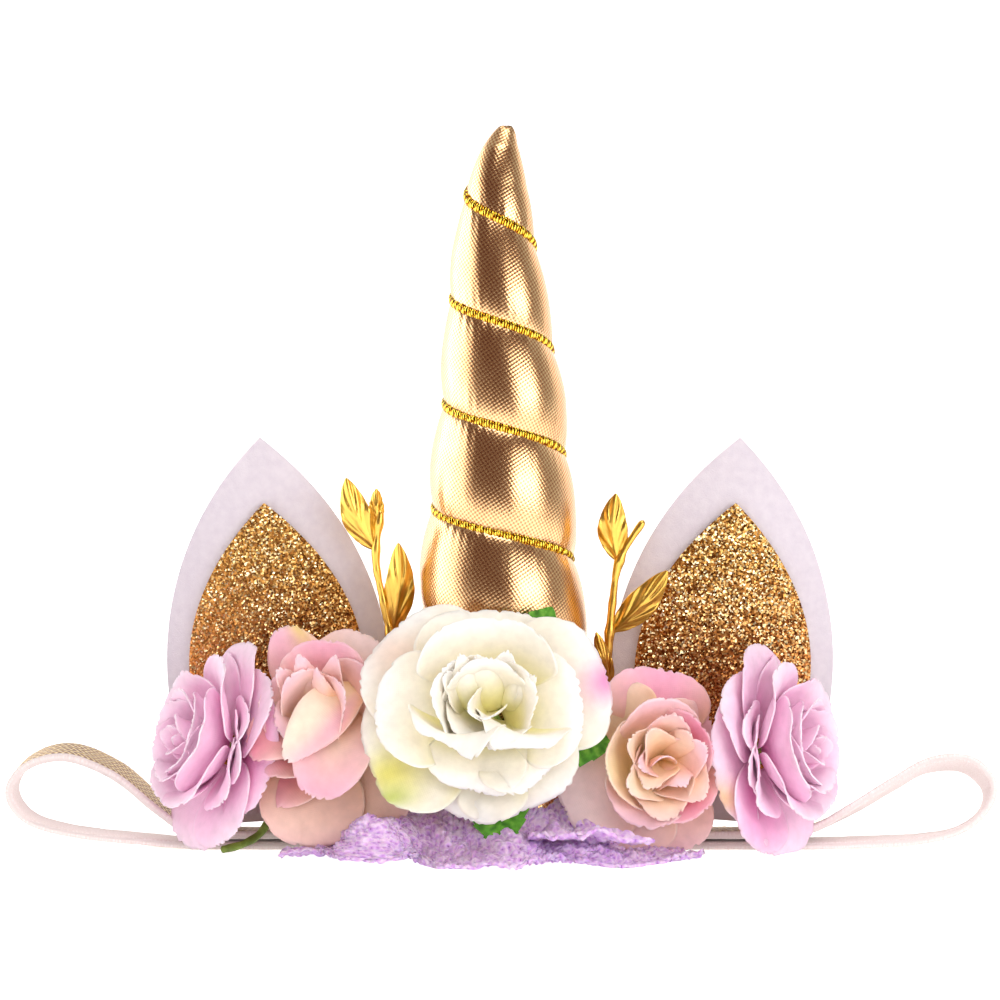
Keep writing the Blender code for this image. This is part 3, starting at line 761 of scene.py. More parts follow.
# %% [markdown]
# ## The roses' petals
# Each row of the tables is one petal of the real rose, from the open outer ones to the folded heart. The
# places of the five roses, how they turn and how far they tip up are the plain model's.

# %% Rose places and colours
ROSES = {
    "white_rose": {
        "centre": (-2.2, -26.5, 25.1), "turn": 0, "tip_up": 14, "stalk": 9.75, "slot": "cream_petal"
    },
    "left_peach_rose": {
        "centre": (-30, -14.5, 22), "turn": -12, "tip_up": 22, "stalk": 8, "slot": "peach_petal"
    },
    "right_peach_rose": {
        "centre": (26, -15.5, 16.6), "turn": 8, "tip_up": 3, "stalk": 8, "slot": "peach_petal"
    },
    "left_lilac_rose": {
        "centre": (-49, -10.6, 18.7),
        "turn": -60,
        "tip_up": 15,
        "stalk": 8,
        "slot": "lilac_petal",
        "flatter": 0.82,
    },
    "right_lilac_rose": {
        "centre": (47.3, -11.6, 18),
        "turn": 58,
        "tip_up": 8,
        "stalk": 8,
        "slot": "lilac_petal",
        "flatter": 0.84,
    },
}
PALETTES = {
    "cream_petal": {
        "root": "F6EEA8", "body": "FDF6E6", "rim": "FFFDF8", "edge": "FFFFFF", "root_share": 0.66
    },
    "peach_petal": {
        "root": "F8D08C", "body": "FBCCC6", "rim": "FCCCD8", "edge": "FFF2EE", "root_share": 0.8
    },
    "lilac_petal": {
        "root": "F6A0D2", "body": "FFD2EC", "rim": "FFE2F4", "edge": "FFF6FC", "root_share": 0.56
    },
}

# %% Petal tables
WHITE_PETALS = {
    "outer": (
        (142, 3, -2.4, 20.2, 12.5, 14, 6, 35, 40, 20, 8, 0),
        (92, 3, -2.0, 16.4, 12.5, 16, 10, 40, 40, 15, 6, 0),
        (25, 3, -2.2, 19.4, 12.2, 14, 8, 40, 45, 25, 7, 0),
        (203, 3, -2.0, 19.0, 12, 10, 6, 40, 40, 20, 7, 0),
        (250, 3, -2.4, 14.4, 11.5, 10, 4, 45, 40, 15, 7, 0),
        (298, 3, -2.2, 14.6, 11.5, 12, 6, 45, 40, 20, 7, 0),
    ),
    "middle": (
        (178, 3, 0.4, 16.8, 10.5, 22, 22, 30, 24, 15, 8, 0),
        (2, 3, 0.6, 14.2, 10.5, 24, 24, 35, 22, 15, -6, 0),
        (90, 3, 1.0, 15.2, 13.5, 26, 50, 30, 15, 8, 0, 0),
        (258, 3, 0.6, 11.6, 9, 30, 22, 70, 18, 20, 6, 0),
        (312, 3, 0.5, 12.5, 9, 28, 22, 60, 20, 20, -8, 0),
    ),
    "inner": (
        (158, 2.5, 1.6, 13.0, 9, 42, 74, 30, 9, 15, 6, 0.2),
        (25, 2.5, 1.6, 12.0, 8.4, 45, 74, 30, 9, 15, -6, 0.4),
        (96, 2.2, 2.2, 12.6, 8.6, 50, 80, 25, 8, 20, 0, 0.3),
        (250, 0.8, 1.2, 11.6, 8.6, 46, 74, 60, 9, 10, 4, 0, 1.0, 0.6),
        (266, 0, 2.4, 11.8, 4.2, 66, 84, 20, 3.2, 30, 10, 0.8, 0.2, 0.6),
        (210, 0, 2.4, 11.6, 4.4, 66, 80, 20, 3.4, 30, -12, 0.8, 0.2, 0.6),
        (252, 0.5, 3.0, 11.8, 9.2, 60, 88, 160, 12, 8, 10, 0.1, -4.8, -1.6),
        (264, 0.5, 2.6, 11.4, 8.8, 60, 88, 160, 13, 8, -10, 0.1, 6.0, -1.6),
        (106, 0, 4.0, 13.2, 3.4, 62, 42, 0, -2.3, 0, 14, 1, -2.2, 0.4),
        (114, 0, 3.0, 12.8, 4.4, 60, 46, 10, -3.4, 0, -16, 1, 1.6, 0.8),
        (72, 0, 2.0, 12.0, 4.2, 62, 52, 10, 3.4, 20, 10, 0.9, 1.4, 2.6),
        (34, 0, 3.4, 10.4, 3.4, 60, 44, 10, -2.8, 0, 20, 1, 2.6, 1.4),
        (140, 0, 2.4, 11.4, 4.0, 62, 60, 15, 3.6, 30, 10, 0.6, -2.6, 1.6),
    ),
}
LEFT_PEACH_PETALS = {
    "outer": (
        (118, 2.5, -1.6, 18.4, 5.6, 24, 18, 20, 8, 50, 14, 0.2),
        (74, 2.5, -2.2, 16.6, 8.5, 14, 10, 40, 26, 25, 6, 0),
        (20, 2.5, -2.4, 14.0, 8.5, 10, 8, 40, 30, 20, 6, 0),
        (302, 2.5, -2.6, 18.4, 9.5, 6, 2, 30, 40, 10, 6, 0),
        (262, 2.5, -2.0, 18.4, 9.5, 8, 4, 35, 34, 15, -8, 0),
        (226, 2.5, -2.0, 13.6, 8.0, 14, 8, 40, 22, 25, 10, 0),
        (160, 2.5, -1.8, 10.4, 7.5, 22, 18, 40, 20, 25, 8, 0),
    ),
    "middle": (
        (90, 2.2, -0.2, 15.0, 8.8, 34, 56, 40, 11, 30, 6, 0),
        (32, 2.2, 0.2, 13.6, 8.5, 36, 62, 30, 11, 15, -6, 0),
        (236, 0, 4.6, 20.5, 4.8, 42, 4, 10, 8, 60, -24, 0.5, 6.4, 6.8),
        (256, 0.6, 2.8, 20.6, 7.0, 38, 4, 22, 13, 36, -14, 0.1, 6.0, 4.6),
        (214, 1.0, 2.0, 16.0, 6.0, 44, 20, 40, 11, 34, 12, 0.2, 0.6, 1.6),
        (214, 2.2, 0.4, 12.6, 8.0, 36, 34, 50, 14, 20, 8, 0),
        (160, 2.2, 0.0, 12.4, 8.0, 38, 58, 30, 11, 15, 6, 0.2),
    ),
    "inner": (
        (118, 1.4, 1.8, 12.8, 6.6, 52, 76, 25, 6.5, 20, 6, 0.3),
        (30, 1.4, 1.8, 12.6, 6.6, 56, 80, 25, 6.5, 15, -6, 0.2),
        (222, 0.8, 2.0, 10.4, 6.0, 56, 78, 90, 6, 30, 14, 0.3, -1.4, 0.6),
        (104, 0, 3.4, 13.6, 3.0, 66, 56, 5, -2.6, 0, 18, 0.9, -1.0, 2.2),
        (74, 0, 2.6, 13.4, 3.4, 64, 58, 10, 3.0, 34, -14, 0.8, 1.8, 2.4),
        (130, 0, 2.4, 12.6, 3.4, 64, 60, 10, 3.0, 34, 14, 0.7, -2.6, 2.0),
        (88, 0, 4.6, 11.6, 2.6, 68, 60, 5, -2.4, 0, -18, 1, 0.6, 1.2),
    ),
}
RIGHT_PEACH_PETALS = {
    "outer": (
        (84, 2.5, -2.0, 14.4, 10.0, 18, 12, 30, 24, 15, 6, 0),
        (126, 2.5, -2.0, 12.8, 8.0, 20, 20, 30, 18, 20, 8, 0),
        (28, 2.5, -2.2, 11.0, 8.0, 18, 14, 35, 26, 20, 6, 0),
        (340, 2.5, -2.2, 11.0, 7.5, 16, 12, 35, 26, 20, 6, 0),
        (288, 2.5, -2.2, 14.6, 8.5, 12, 4, 35, 34, 12, 6, 0),
        (252, 2.5, -1.8, 14.2, 8.5, 18, 6, 30, 34, 12, -6, 0),
        (208, 2.5, -1.2, 15.4, 9.5, 24, 12, 35, 24, 18, 8, 0),
    ),
    "middle": (
        (96, 2.2, 0.0, 12.6, 8.0, 36, 60, 35, 11, 15, 6, 0, 1),
        (40, 2.2, 0.2, 11.4, 7.5, 40, 62, 35, 11, 20, -6, 0, 0.6),
        (186, 2.2, 0.2, 12.6, 8.5, 40, 66, 30, 11, 15, 8, 0.1, 1),
        (245, 2.2, 0.2, 12.4, 8.0, 38, 52, 40, 12, 15, 8, 0.1, 1),
        (305, 2.2, 0.4, 12.0, 7.5, 38, 56, 35, 11, 15, -8, 0, 1),
    ),
    "inner": (
        (150, 1.2, 1.4, 12.4, 6.0, 50, 70, 25, 5.0, 30, 16, 0.7, 1.2),
        (84, 1.2, 1.4, 12.8, 6.4, 50, 66, 30, 5.5, 34, -12, 0.6, 1.6),
        (24, 1.2, 1.6, 11.4, 5.6, 54, 68, 35, 4.6, 30, 14, 0.7, 1.4),
        (318, 1.2, 1.6, 11.8, 6.0, 52, 60, 50, 6.0, 24, -14, 0.6, 1.4),
        (268, 1.2, 1.6, 12.2, 6.6, 48, 56, 55, 6.5, 20, 12, 0.5, 1.2),
        (212, 1.2, 1.6, 11.8, 6.0, 52, 66, 40, 5.5, 26, -14, 0.6, 1.2),
        (120, 0.2, 2.6, 11.6, 4.6, 64, 62, 15, 3.4, 34, 14, 0.8, 1.0, 0.6),
        (50, 0.2, 2.6, 11.2, 4.4, 64, 60, 15, -3.4, 20, -14, 0.9, 1.4, 0.8),
        (238, 0.2, 2.6, 10.6, 5.0, 62, 66, 50, 4.2, 30, 18, 0.8, 0.6, 0.8),
        (300, 0.2, 2.8, 10.2, 4.6, 62, 66, 40, -4.2, 20, -18, 0.9, 1.6, 0.8),
        (190, 0.2, 2.8, 10.4, 3.8, 66, 70, 20, 3.2, 30, 14, 0.8, 0.6, 0.4),
        (100, 0, 2.2, 8.4, 3.6, 70, 96, 10, 2.6, 20, 10, 0.6, 0.8, 0.2),
    ),
}
# The lilac rose that faces right. The one that faces left has the same petals, mirrored
LILAC_PETALS = {
    "outer": (
        (98, 2.5, -2.0, 17.2, 9.5, 20, 14, 40, 28, 25, 8, 0),
        (142, 2.5, -2.0, 15.4, 8.5, 18, 10, 45, 26, 25, 8, 0),
        (188, 2.5, -2.4, 13.4, 11.5, 12, -2, 70, 60, 10, 4, 0),
        (238, 2.5, -2.0, 15.8, 9.0, 14, 8, 40, 28, 20, 8, 0),
        (280, 2.5, -2.0, 16.4, 9.5, 14, 10, 40, 28, 20, 8, 0),
        (330, 2.5, -2.0, 12.4, 8.5, 16, 12, 40, 28, 20, 8, 0.3),
        (20, 2.5, -2.0, 12.0, 8.5, 18, 14, 40, 24, 25, 8, 0.3),
        (62, 2.5, -2.0, 15.6, 9.0, 18, 14, 40, 24, 25, 8, 0.2),
    ),
    "middle": (
        (118, 2.5, -0.2, 16.4, 9.5, 32, 46, 40, 15, 25, 8, 0.2),
        (182, 2.5, 0.2, 15.2, 10.5, 44, 72, 30, 12, 12, 8, 0),
        (192, 2.2, -2.2, 13.6, 9.0, 30, 30, 30, 12, 34, -10, 0.5),
        (160, 2.2, -2.0, 13.0, 7.0, 26, 34, 40, 10, 40, 10, 0.3),
        (214, 2.2, -2.0, 14.0, 7.5, 26, 34, 40, 10, 40, -10, 0.3),
        (236, 2.5, -0.2, 15.0, 9.5, 38, 58, 40, 13, 20, 8, 0.1),
        (292, 2.5, 0.0, 13.6, 9.0, 38, 60, 40, 13, 20, 8, 0.2),
        (346, 2.5, 0.0, 12.6, 8.5, 40, 60, 40, 12, 20, 8, 0.3),
        (48, 2.5, 0.0, 14.8, 9.0, 36, 54, 40, 13, 25, 8, 0.3),
    ),
    "inner": (
        (150, 2, 1.2, 13.4, 8.0, 50, 76, 30, 8.5, 20, 8, 0.3),
        (214, 2, 1.4, 13.2, 8.0, 54, 80, 30, 8.5, 20, 8, 0.3),
        (275, 2, 1.2, 12.8, 7.6, 52, 78, 35, 8.5, 20, 8, 0.3),
        (335, 2, 1.4, 12.2, 7.4, 54, 80, 35, 8.0, 20, 8, 0.3),
        (30, 2, 1.2, 12.8, 7.6, 52, 78, 30, 8.0, 20, 8, 0.3),
        (90, 2, 1.4, 13.2, 7.6, 52, 76, 30, 8.0, 20, 8, 0.3),
        (120, 0.8, 2.6, 11.6, 4.6, 66, 88, 25, 3.6, 35, 14, 0.8),
        (240, 0.8, 2.6, 11.4, 4.6, 66, 88, 25, 3.6, 35, 14, 0.8),
        (0, 0.8, 2.6, 11.0, 4.4, 66, 88, 25, 3.6, 35, 14, 0.8),
        (60, 0, 3.0, 10.6, 3.0, 74, 86, 5, 2.2, 30, 10, 0.9),
        (200, 0, 3.0, 10.4, 3.0, 74, 86, 5, 2.2, 30, 10, 0.9),
    ),
}


def mirrored(rows):
    """The same petals for a rose that faces the other way."""
    return tuple((180 - row[0], *row[1:10], -row[10], *row[11:]) for row in rows)


PETALS = {
    "white_rose": WHITE_PETALS,
    "left_peach_rose": LEFT_PEACH_PETALS,
    "right_peach_rose": RIGHT_PEACH_PETALS,
    "left_lilac_rose": {whorl: mirrored(rows) for whorl, rows in LILAC_PETALS.items()},
    "right_lilac_rose": LILAC_PETALS,
}


def rose_axes(rose):
    """The rose's place, and its own right, up and forward directions as the columns of a matrix."""
    form = ROSES[rose]
    turning = Euler((math.radians(90 - form["tip_up"]), 0, math.radians(form["turn"])))
    return np.array(form["centre"], dtype=float), np.array(turning.to_matrix())


def whorl_piece(rose, whorl, rows, patches, seed):
    """All petals of one whorl, joined, with their flat area and the strip that they were cut from."""
    centre, axes = rose_axes(rose)
    form = ROSES[rose]
    palette = PALETTES[form["slot"]]
    petals = []
    for number, row in enumerate(rows):
        petal = dict(zip(PETAL_COLUMNS, (*row, 0, 0, 0)))
        own_seed = seed + 7 * number
        own_patches = patches.get((whorl, number), ())

        def shape(u, v):
            points, flat, rise, side = petal_place(petal, u, v, own_seed)
            points[..., 2] *= form.get("flatter", 1)
            tint = petal_tint(palette, own_patches, rise, side, own_seed)
            points = points @ axes.T + centre
            points[..., 2] = np.maximum(points[..., 2], TABLE_GAP)
            return points, flat, tint

        petals.append(cloth_grid(f"{rose}_{whorl}_{number}", *PETAL_GRID, shape))
    area = sum(flat_area(petal) for petal in petals)
    piece = join(f"{rose}_{whorl}_whorl", petals)
    apply_modifier(piece, "SOLIDIFY", thickness=PETAL_THICK * MM, offset=0)
    strip = (max(row[3] for row in rows) * 1.05 * MM, sum(2 * row[4] for row in rows) * MM)
    return piece, area, strip


# %% [markdown]
# ## Petal cloth
# The petals are dyed polyester satin, heat set. It is thin and lets light through, with a soft sheen and a
# barely visible weave, drawn at 0.35 mm so that it shows close up. The dye, with painted shade in the deep
# pink patches, is painted on the points as a tint.


# %% Petal finishes
def petal_finish(name, sheen_tint):
    finish, tree, shader = new_finish(
        name,
        {
            "Roughness": 0.62,
            "Specular IOR Level": 0.3,
            "Sheen Weight": 0.25,
            "Sheen Roughness": 0.4,
            "Sheen Tint": colour(sheen_tint),
            "Subsurface Weight": 0.25,
            "Subsurface Radius": (1.0, 0.75, 0.7),
            "Subsurface Scale": 1.2 * MM,
        },
    )
    # The tint holds the dye, and the painted shade of the deep pink patches.
    dye_and_shade = add_node(tree, "Attribute", attribute_name="tint", attribute_type="GEOMETRY")
    flat_place = add_node(tree, "UVMap", uv_map="UVMap")
    split = add_node(tree, "SeparateXYZ", {0: flat_place})
    warp = add_node(tree, "Math", {0: split, 1: TAU / 0.35}, operation="MULTIPLY")
    weft = add_node(tree, "Math", {0: split.outputs[1], 1: TAU / 0.35}, operation="MULTIPLY")
    warp_wave = add_node(tree, "Math", {0: warp}, operation="SINE")
    weft_wave = add_node(tree, "Math", {0: weft}, operation="SINE")
    weave = add_node(tree, "Math", {0: warp_wave, 1: weft_wave}, operation="ADD")
    mottle = add_node(tree, "TexNoise", {"Vector": flat_place, "Scale": 0.55, "Detail": 4.0})
    shade = add_node(tree, "MapRange", {0: mottle.outputs["Fac"], 1: 0.3, 2: 0.7, 3: 0.93, 4: 1.03})
    mottled_dye_and_shade = add_node(tree, "VectorMath", {0: dye_and_shade.outputs["Color"], "Scale": shade}, operation="SCALE")
    height = add_node(tree, "Math", {0: mottle.outputs["Fac"], 1: 3.0, 2: weave}, operation="MULTIPLY_ADD")
    relief = add_node(tree, "Bump", {"Height": height, "Distance": 0.02 * MM, "Strength": 0.16})
    feed(tree, shader, {"Base Color": mottled_dye_and_shade, "Normal": relief})
    return finish


PETAL_FINISHES = {
    "cream_petal": petal_finish("cream polyester petal satin", "FFFDF0"),
    "peach_petal": petal_finish("peach polyester petal satin", "FFE4DC"),
    "lilac_petal": petal_finish("lilac pink polyester petal satin", "FFE0F8"),
}

# %% Make the roses
# Patches: which petal, then side, rise, size, strength and colour of each patch. Most are dye. The deep pink
# ones low on the petals are partly dye and partly painted shade in the roses' hollows.
PATCHES = {
    "white_rose": {
        ("outer", 0): ((0.1, 0.8, 0.4, 0.6, "FAD2C0"),),
        ("outer", 2): ((-0.25, 0.98, 0.34, 0.95, "F08CC0"),),
        ("outer", 3): ((0.2, 0.86, 0.42, 0.95, "F4EE7C"), (0.62, 0.9, 0.22, 0.8, "C2D456")),
    },
    "left_peach_rose": {
        ("outer", 0): ((-0.5, 0.97, 0.3, 0.9, "FBE07A"), (0.3, 0.7, 0.7, 0.5, "F3A6C8")),
        ("outer", 1): ((0, 0.8, 0.9, 0.6, "FBE6DC"),),
        ("outer", 3): ((0, 0.6, 1.2, 0.85, "F8D2BC"),),
        ("outer", 4): ((0, 0.6, 1.2, 0.85, "F8CEBC"),),
        ("middle", 2): ((0.6, 0.5, 0.5, 0.7, "F7B0CC"), (-0.4, 0.6, 0.7, 0.9, "FDEBD2")),
        ("middle", 3): ((0, 0.85, 0.8, 0.9, "F4A0C4"), (0, 0.4, 0.6, 0.7, "FBE0C0")),
        ("middle", 4): ((0, 0.6, 0.8, 0.8, "F6BC9C"), (0, 0.95, 0.7, 0.7, "F29AB8")),
        ("middle", 5): ((0, 0.5, 0.8, 0.7, "E88AA4"),),
        ("middle", 0): ((0, 0.9, 0.8, 0.6, "F29CBA"),),
        ("outer", 5): ((0, 0.4, 0.8, 0.8, "E77B95"),),
        ("outer", 6): ((0, 0.5, 0.8, 0.8, "E77B95"),),
    },
    "right_peach_rose": {
        ("outer", 0): ((-0.1, 0.75, 0.8, 0.8, "F4A0C4"),),
        ("outer", 1): ((0, 0.6, 1.0, 0.8, "FBE0B4"),),
        ("outer", 4): ((0, 0.6, 1.2, 0.6, "FFD4CC"),),
        ("outer", 5): ((0, 0.6, 1.2, 0.7, "FFDAD4"),),
        ("outer", 6): ((0, 0.7, 1.2, 0.9, "FFE4E0"),),
        ("middle", 1): ((0, 0.7, 0.8, 0.8, "EE7FA8"),),
        ("middle", 2): ((0, 0.6, 1.0, 0.85, "FAE0A0"),),
        ("middle", 4): ((0, 0.5, 0.8, 0.85, "E8668A"),),
        ("inner", 0): ((0, 0.5, 0.9, 0.7, "FBE2AC"),),
        ("inner", 1): ((0, 0.9, 0.8, 0.6, "F7A8C4"), (0, 0.4, 0.8, 0.6, "FBDFA8")),
        ("inner", 3): ((0, 0.5, 0.9, 0.6, "F8C490"),),
        ("inner", 4): ((0, 0.5, 0.9, 0.6, "FAD6A0"),),
        ("inner", 5): ((0, 0.5, 0.9, 0.8, "FCE8B0"),),
        ("inner", 6): ((0, 0.5, 0.9, 0.7, "FBD9A6"),),
        ("inner", 7): ((0, 0.5, 0.9, 0.7, "FBD2AC"),),
        ("inner", 8): ((0, 0.5, 0.9, 0.8, "FCE0AE"),),
    },
    "left_lilac_rose": {("outer", 2): ((0, 0.4, 0.8, 0.6, "EC78BC"),)},
    "right_lilac_rose": {
        ("outer", 2): ((0.45, 0.92, 0.3, 0.9, "F8C878"), (0, 0.5, 0.9, 0.4, "F9CBEA")),
        ("outer", 0): ((0.2, 0.7, 0.6, 0.5, "F8D2EE"),),
        ("outer", 3): ((0, 0.4, 0.8, 0.7, "EC78BC"),),
    },
}
petal_pieces = {}
for number, rose in enumerate(ROSES):
    for whorl, petals in PETALS[rose].items():
        piece, area, strip = whorl_piece(rose, whorl, petals, PATCHES[rose], 100 * number + len(whorl))
        petal_pieces[rose, whorl] = piece
        dress(piece, PETAL_FINISHES[ROSES[rose]["slot"]], [f"{rose}_{whorl}_petals"])
        area = min(area, strip[0] * strip[1])

# %% [markdown]
# ## Calyx, stems and leaves
# Behind its petals a rose has a moulded green calyx, on the stalk that the petals are threaded on. It is
# turned: a section of radii and heights is carried round the rose's axis. The leaves have saw teeth and a
# folded rib.

# %% Calyx and stems
CALYX = (
    (0.0, -0.4), (1.0, -0.6), (1.7, -1.6), (2.1, -2.6), (2.3, -3.2), (2.2, -3.8), (2.0, -4.6), (1.8, -6.0)
)
STEMS = {
    "left_peach_rose": ((-27.4, -3, 13), (-27.2, -1.6, 8), (-27.2, -1.6, 3.85)),
    "right_peach_rose": ((24.6, -3.8, 12), (24.4, -1.8, 8), (24.4, -1.8, 3.85)),
    "left_lilac_rose": (
        (-39.4, -5.6, 12.5), (-40.5, -6.6, 7.5), (-42.4, -7.2, 3.6), (-45.4, -9.6, 1.7), (-49.1, -13.2, 1)
    ),
    "right_lilac_rose": ((36.2, -3.8, 13), (35.4, -1.8, 8), (35.4, -1.8, 3.85)),
}


def calyx(rose):
    centre, axes = rose_axes(rose)
    end = -ROSES[rose]["stalk"]
    section = [*CALYX, (1.8, end + 0.4), (1.4, end), (0.0, end)]
    count = 4 * (len(section) - 1)
    smooth = np.array([smooth_point(section, step / 4) for step in range(count + 1)])
    smooth[:, 0] = np.maximum(smooth[:, 0], 0)
    smooth[0, 0] = 0
    smooth[-1, 0] = 0

    def shape(u, v):
        radius = np.broadcast_to(smooth[:, :1], u.shape)
        height = np.broadcast_to(smooth[:, 1:], u.shape)
        ribbed = radius * (1 + 0.05 * np.cos(5 * TAU * u))
        local = np.stack((ribbed * np.cos(TAU * u), ribbed * np.sin(TAU * u), height), axis=-1)
        return local @ axes.T + centre, np.stack((u * 18, height), axis=-1), None

    piece = cloth_grid(f"{rose}_calyx", 40, count, shape)
    close_seams(piece)
    return piece


def wire_stem(rose, route):
    centre, axes = rose_axes(rose)
    behind = ROSES[rose]["stalk"] + 0.3
    starts = [tuple(axes @ np.array((0, 0, -back)) + centre) for back in (behind, behind + 1.4)]
    knots = [*starts, *route]
    steps = 8
    points = [smooth_point(knots, step / steps) for step in range(steps * (len(knots) - 1) + 1)]
    radii = [0.7 + 0.05 * math.sin(step * 0.9) for step in range(len(points))]
    radii[0] = 0
    radii[-1] = 0
    radii[-2] = 0.66
    return tube(f"{rose}_wire", points, radii, 14)


calyxes = {rose: calyx(rose) for rose in ROSES}
wires = {rose: wire_stem(rose, route) for rose, route in STEMS.items()}

# %% [markdown]
# The stems are wire wrapped in green paper tape, with random brownish patches of painted shade and paler
# patches.
# Fine rings of tape edges, 1.2 mm apart, run round them.

# %% Stem finish
tape, tree, shader = new_finish("green waxed paper tape", {"Roughness": 0.5, "Specular IOR Level": 0.35})
object_place = add_node(tree, "TexCoord")
tape_tone_and_shade = add_node(
    tree, "TexNoise", {"Vector": object_place.outputs["Object"], "Scale": 420.0, "Detail": 5.0}
)
# The brownish first stop is painted shade, laid in random noise patches. The others are the tape's own
# greens.
green = add_node(
    tree,
    "ValToRGB",
    {0: tape_tone_and_shade.outputs["Fac"]},
    stops=((0.3, colour("5C6B2A")), (0.6, colour("86A045")), (0.8, colour("A9BE62"))),
)
flat_place = add_node(tree, "UVMap", uv_map="UVMap")
rings = add_node(
    tree, "TexWave", {"Vector": flat_place, "Scale": 0.26, "Distortion": 1.5}, bands_direction="Y"
)
relief = add_node(tree, "Bump", {"Height": rings.outputs["Fac"], "Distance": 0.08 * MM, "Strength": 0.5})
feed(tree, shader, {"Base Color": green, "Normal": relief})
for rose, piece in calyxes.items():
    dress(piece, tape, [f"{rose}_core"])
for rose, piece in wires.items():
    dress(piece, tape, [f"{rose}_stem"])

# %% Leaves
LEAVES = {
    "white_rose": {"first": 61, "reaches": (23.4, 15, 15, 22.6, 22.0), "half": 6.4},
    "left_peach_rose": {"first": 36, "reaches": (12, 13, 12, 20.0, 12), "half": 5.4},
}


LEAF_ROOT = 2.6
LEAF_DEPTH = -4.9
LEAF_TEETH = 9
LEAF_THICK = 0.35


def rose_leaf(name, rose, degrees, reach, half, seed):
    """A leaf with saw teeth, lying behind the petals."""
    centre, axes = rose_axes(rose)
    turn = math.radians(degrees)

    def shape(u, v):
        side = 2 * u - 1
        breadth = np.sin(math.pi * np.clip(v, 0, 1) ** 0.9) ** 0.75
        teeth = 1 - 0.13 * ((v * LEAF_TEETH + 0.3) % 1)
        half_here = np.maximum(half * breadth * (1 - (1 - teeth) * np.abs(side) ** 3), 0.5 * (1 - v))
        length = reach - LEAF_ROOT
        out = LEAF_ROOT + v * length
        aside = side * half_here
        height = LEAF_DEPTH + 0.5 * np.abs(side) * breadth + 0.6 * v * v
        height = height + 0.25 * waves(seed, aside / 2.5, out / 3)
        height = height + 0.16 * np.exp(-((aside / 0.3) ** 2))
        local = np.stack(
            (
                out * math.cos(turn) - aside * math.sin(turn),
                out * math.sin(turn) + aside * math.cos(turn),
                height,
            ),
            axis=-1,
        )
        return local @ axes.T + centre, np.stack((aside, v * length), axis=-1), None

    return cloth_grid(name, 16, 72, shape)


leaf_pieces = {}
for rose, form in LEAVES.items():
    blades = []
    for number, reach in enumerate(form["reaches"]):
        degrees = form["first"] + 72 * number
        blades.append(rose_leaf(f"{rose}_leaf_{number}", rose, degrees, reach, form["half"], 400 + number))
    leaf_area = sum(flat_area(blade) for blade in blades)
    leaf_piece = join(f"{rose}_leaf_whorl", blades)
    apply_modifier(leaf_piece, "SOLIDIFY", thickness=LEAF_THICK * MM, offset=0)
    strip = (max(form["reaches"]) * MM, 10 * form["half"] * MM)
    leaf_pieces[rose] = (leaf_piece, strip, leaf_area)

# %% [markdown]
# The leaf cloth is the same satin dyed green, with paler ribs.

# %% Leaf finish
leaf_cloth, tree, shader = new_finish(
    "green polyester leaf cloth",
    {"Roughness": 0.6, "Specular IOR Level": 0.35, "Sheen Weight": 0.15, "Subsurface Weight": 0.1},
)
feed(tree, shader, {"Subsurface Scale": 0.6 * MM})
flat_place = add_node(tree, "UVMap", uv_map="UVMap")
split = add_node(tree, "SeparateXYZ", {0: flat_place})
from_rib = add_node(tree, "Math", {0: split}, operation="ABSOLUTE")
slanted = add_node(tree, "Math", {0: from_rib, 1: -0.8, 2: split.outputs[1]}, operation="MULTIPLY_ADD")
ribs_place = add_node(tree, "Math", {0: slanted, 1: TAU / 2.2}, operation="MULTIPLY")
ribs = add_node(tree, "Math", {0: ribs_place}, operation="SINE")
mottle = add_node(tree, "TexNoise", {"Vector": flat_place, "Scale": 0.8, "Detail": 5.0})
shade = add_node(tree, "Math", {0: ribs, 1: 0.08, 2: mottle.outputs["Fac"]}, operation="MULTIPLY_ADD")
green = add_node(
    tree,
    "ValToRGB",
    {0: shade},
    stops=((0.3, colour("3F7A1E")), (0.55, colour("5FA630")), (0.75, colour("86BF48"))),
)
relief = add_node(tree, "Bump", {"Height": shade, "Distance": 0.2 * MM, "Strength": 0.5})
feed(tree, shader, {"Base Color": green, "Normal": relief})
for rose, (piece, strip, leaf_area) in leaf_pieces.items():
    dress(piece, leaf_cloth, [f"{rose}_leaves"])
    area = min(max(leaf_area, 0.31 * strip[0] * strip[1]), strip[0] * strip[1])

# %% [markdown]
# ## The lace
# The lilac ruffle is knitted cotton lace, gathered along the band and let fall in front. Its big folds are
# the plain model's. Lumps of yarn, a millimetre or two across, are pushed up along the surface's own
# normals.

# %% Lace folds
LACE_FOLDS = (
    # root_x, belly_x, belly_y, belly_z, rim_x, rim_y, rim_z
    (-30, -35, -15, 1.2, -38.5, -19.5, 0.7),
    (-27, -29.5, -18, 2.4, -31, -21, 1.0),
    (-22, -25, -26.2, 6.6, -26, -29.5, 0.8),
    (-17, -19.5, -27.2, 6.8, -19, -31.5, 0.8),
    (-12, -14.5, -24, 2.6, -14.5, -27, 1.6),
    (-8, -10, -26.5, 2.2, -10.6, -35, 0.8),
    (-4, -5.5, -26.5, 2.4, -5.4, -36, 0.7),
    (0, 1.2, -30, 4.0, 2.4, -39.6, 0.7),
    (4, 5.2, -28, 3.0, 6.4, -34.5, 1.4),
    (8, 8.4, -24, 1.6, 9.2, -28, 1.6),
    (12, 14.8, -25.8, 2.0, 15.6, -30.5, 0.9),
    (17, 19.6, -26.4, 1.4, 21.4, -34, 0.8),
    (23, 25.6, -22, 0.9, 27.6, -27, 0.8),
    (30, 32.6, -15, 0.9, 35.6, -19, 0.8),
)
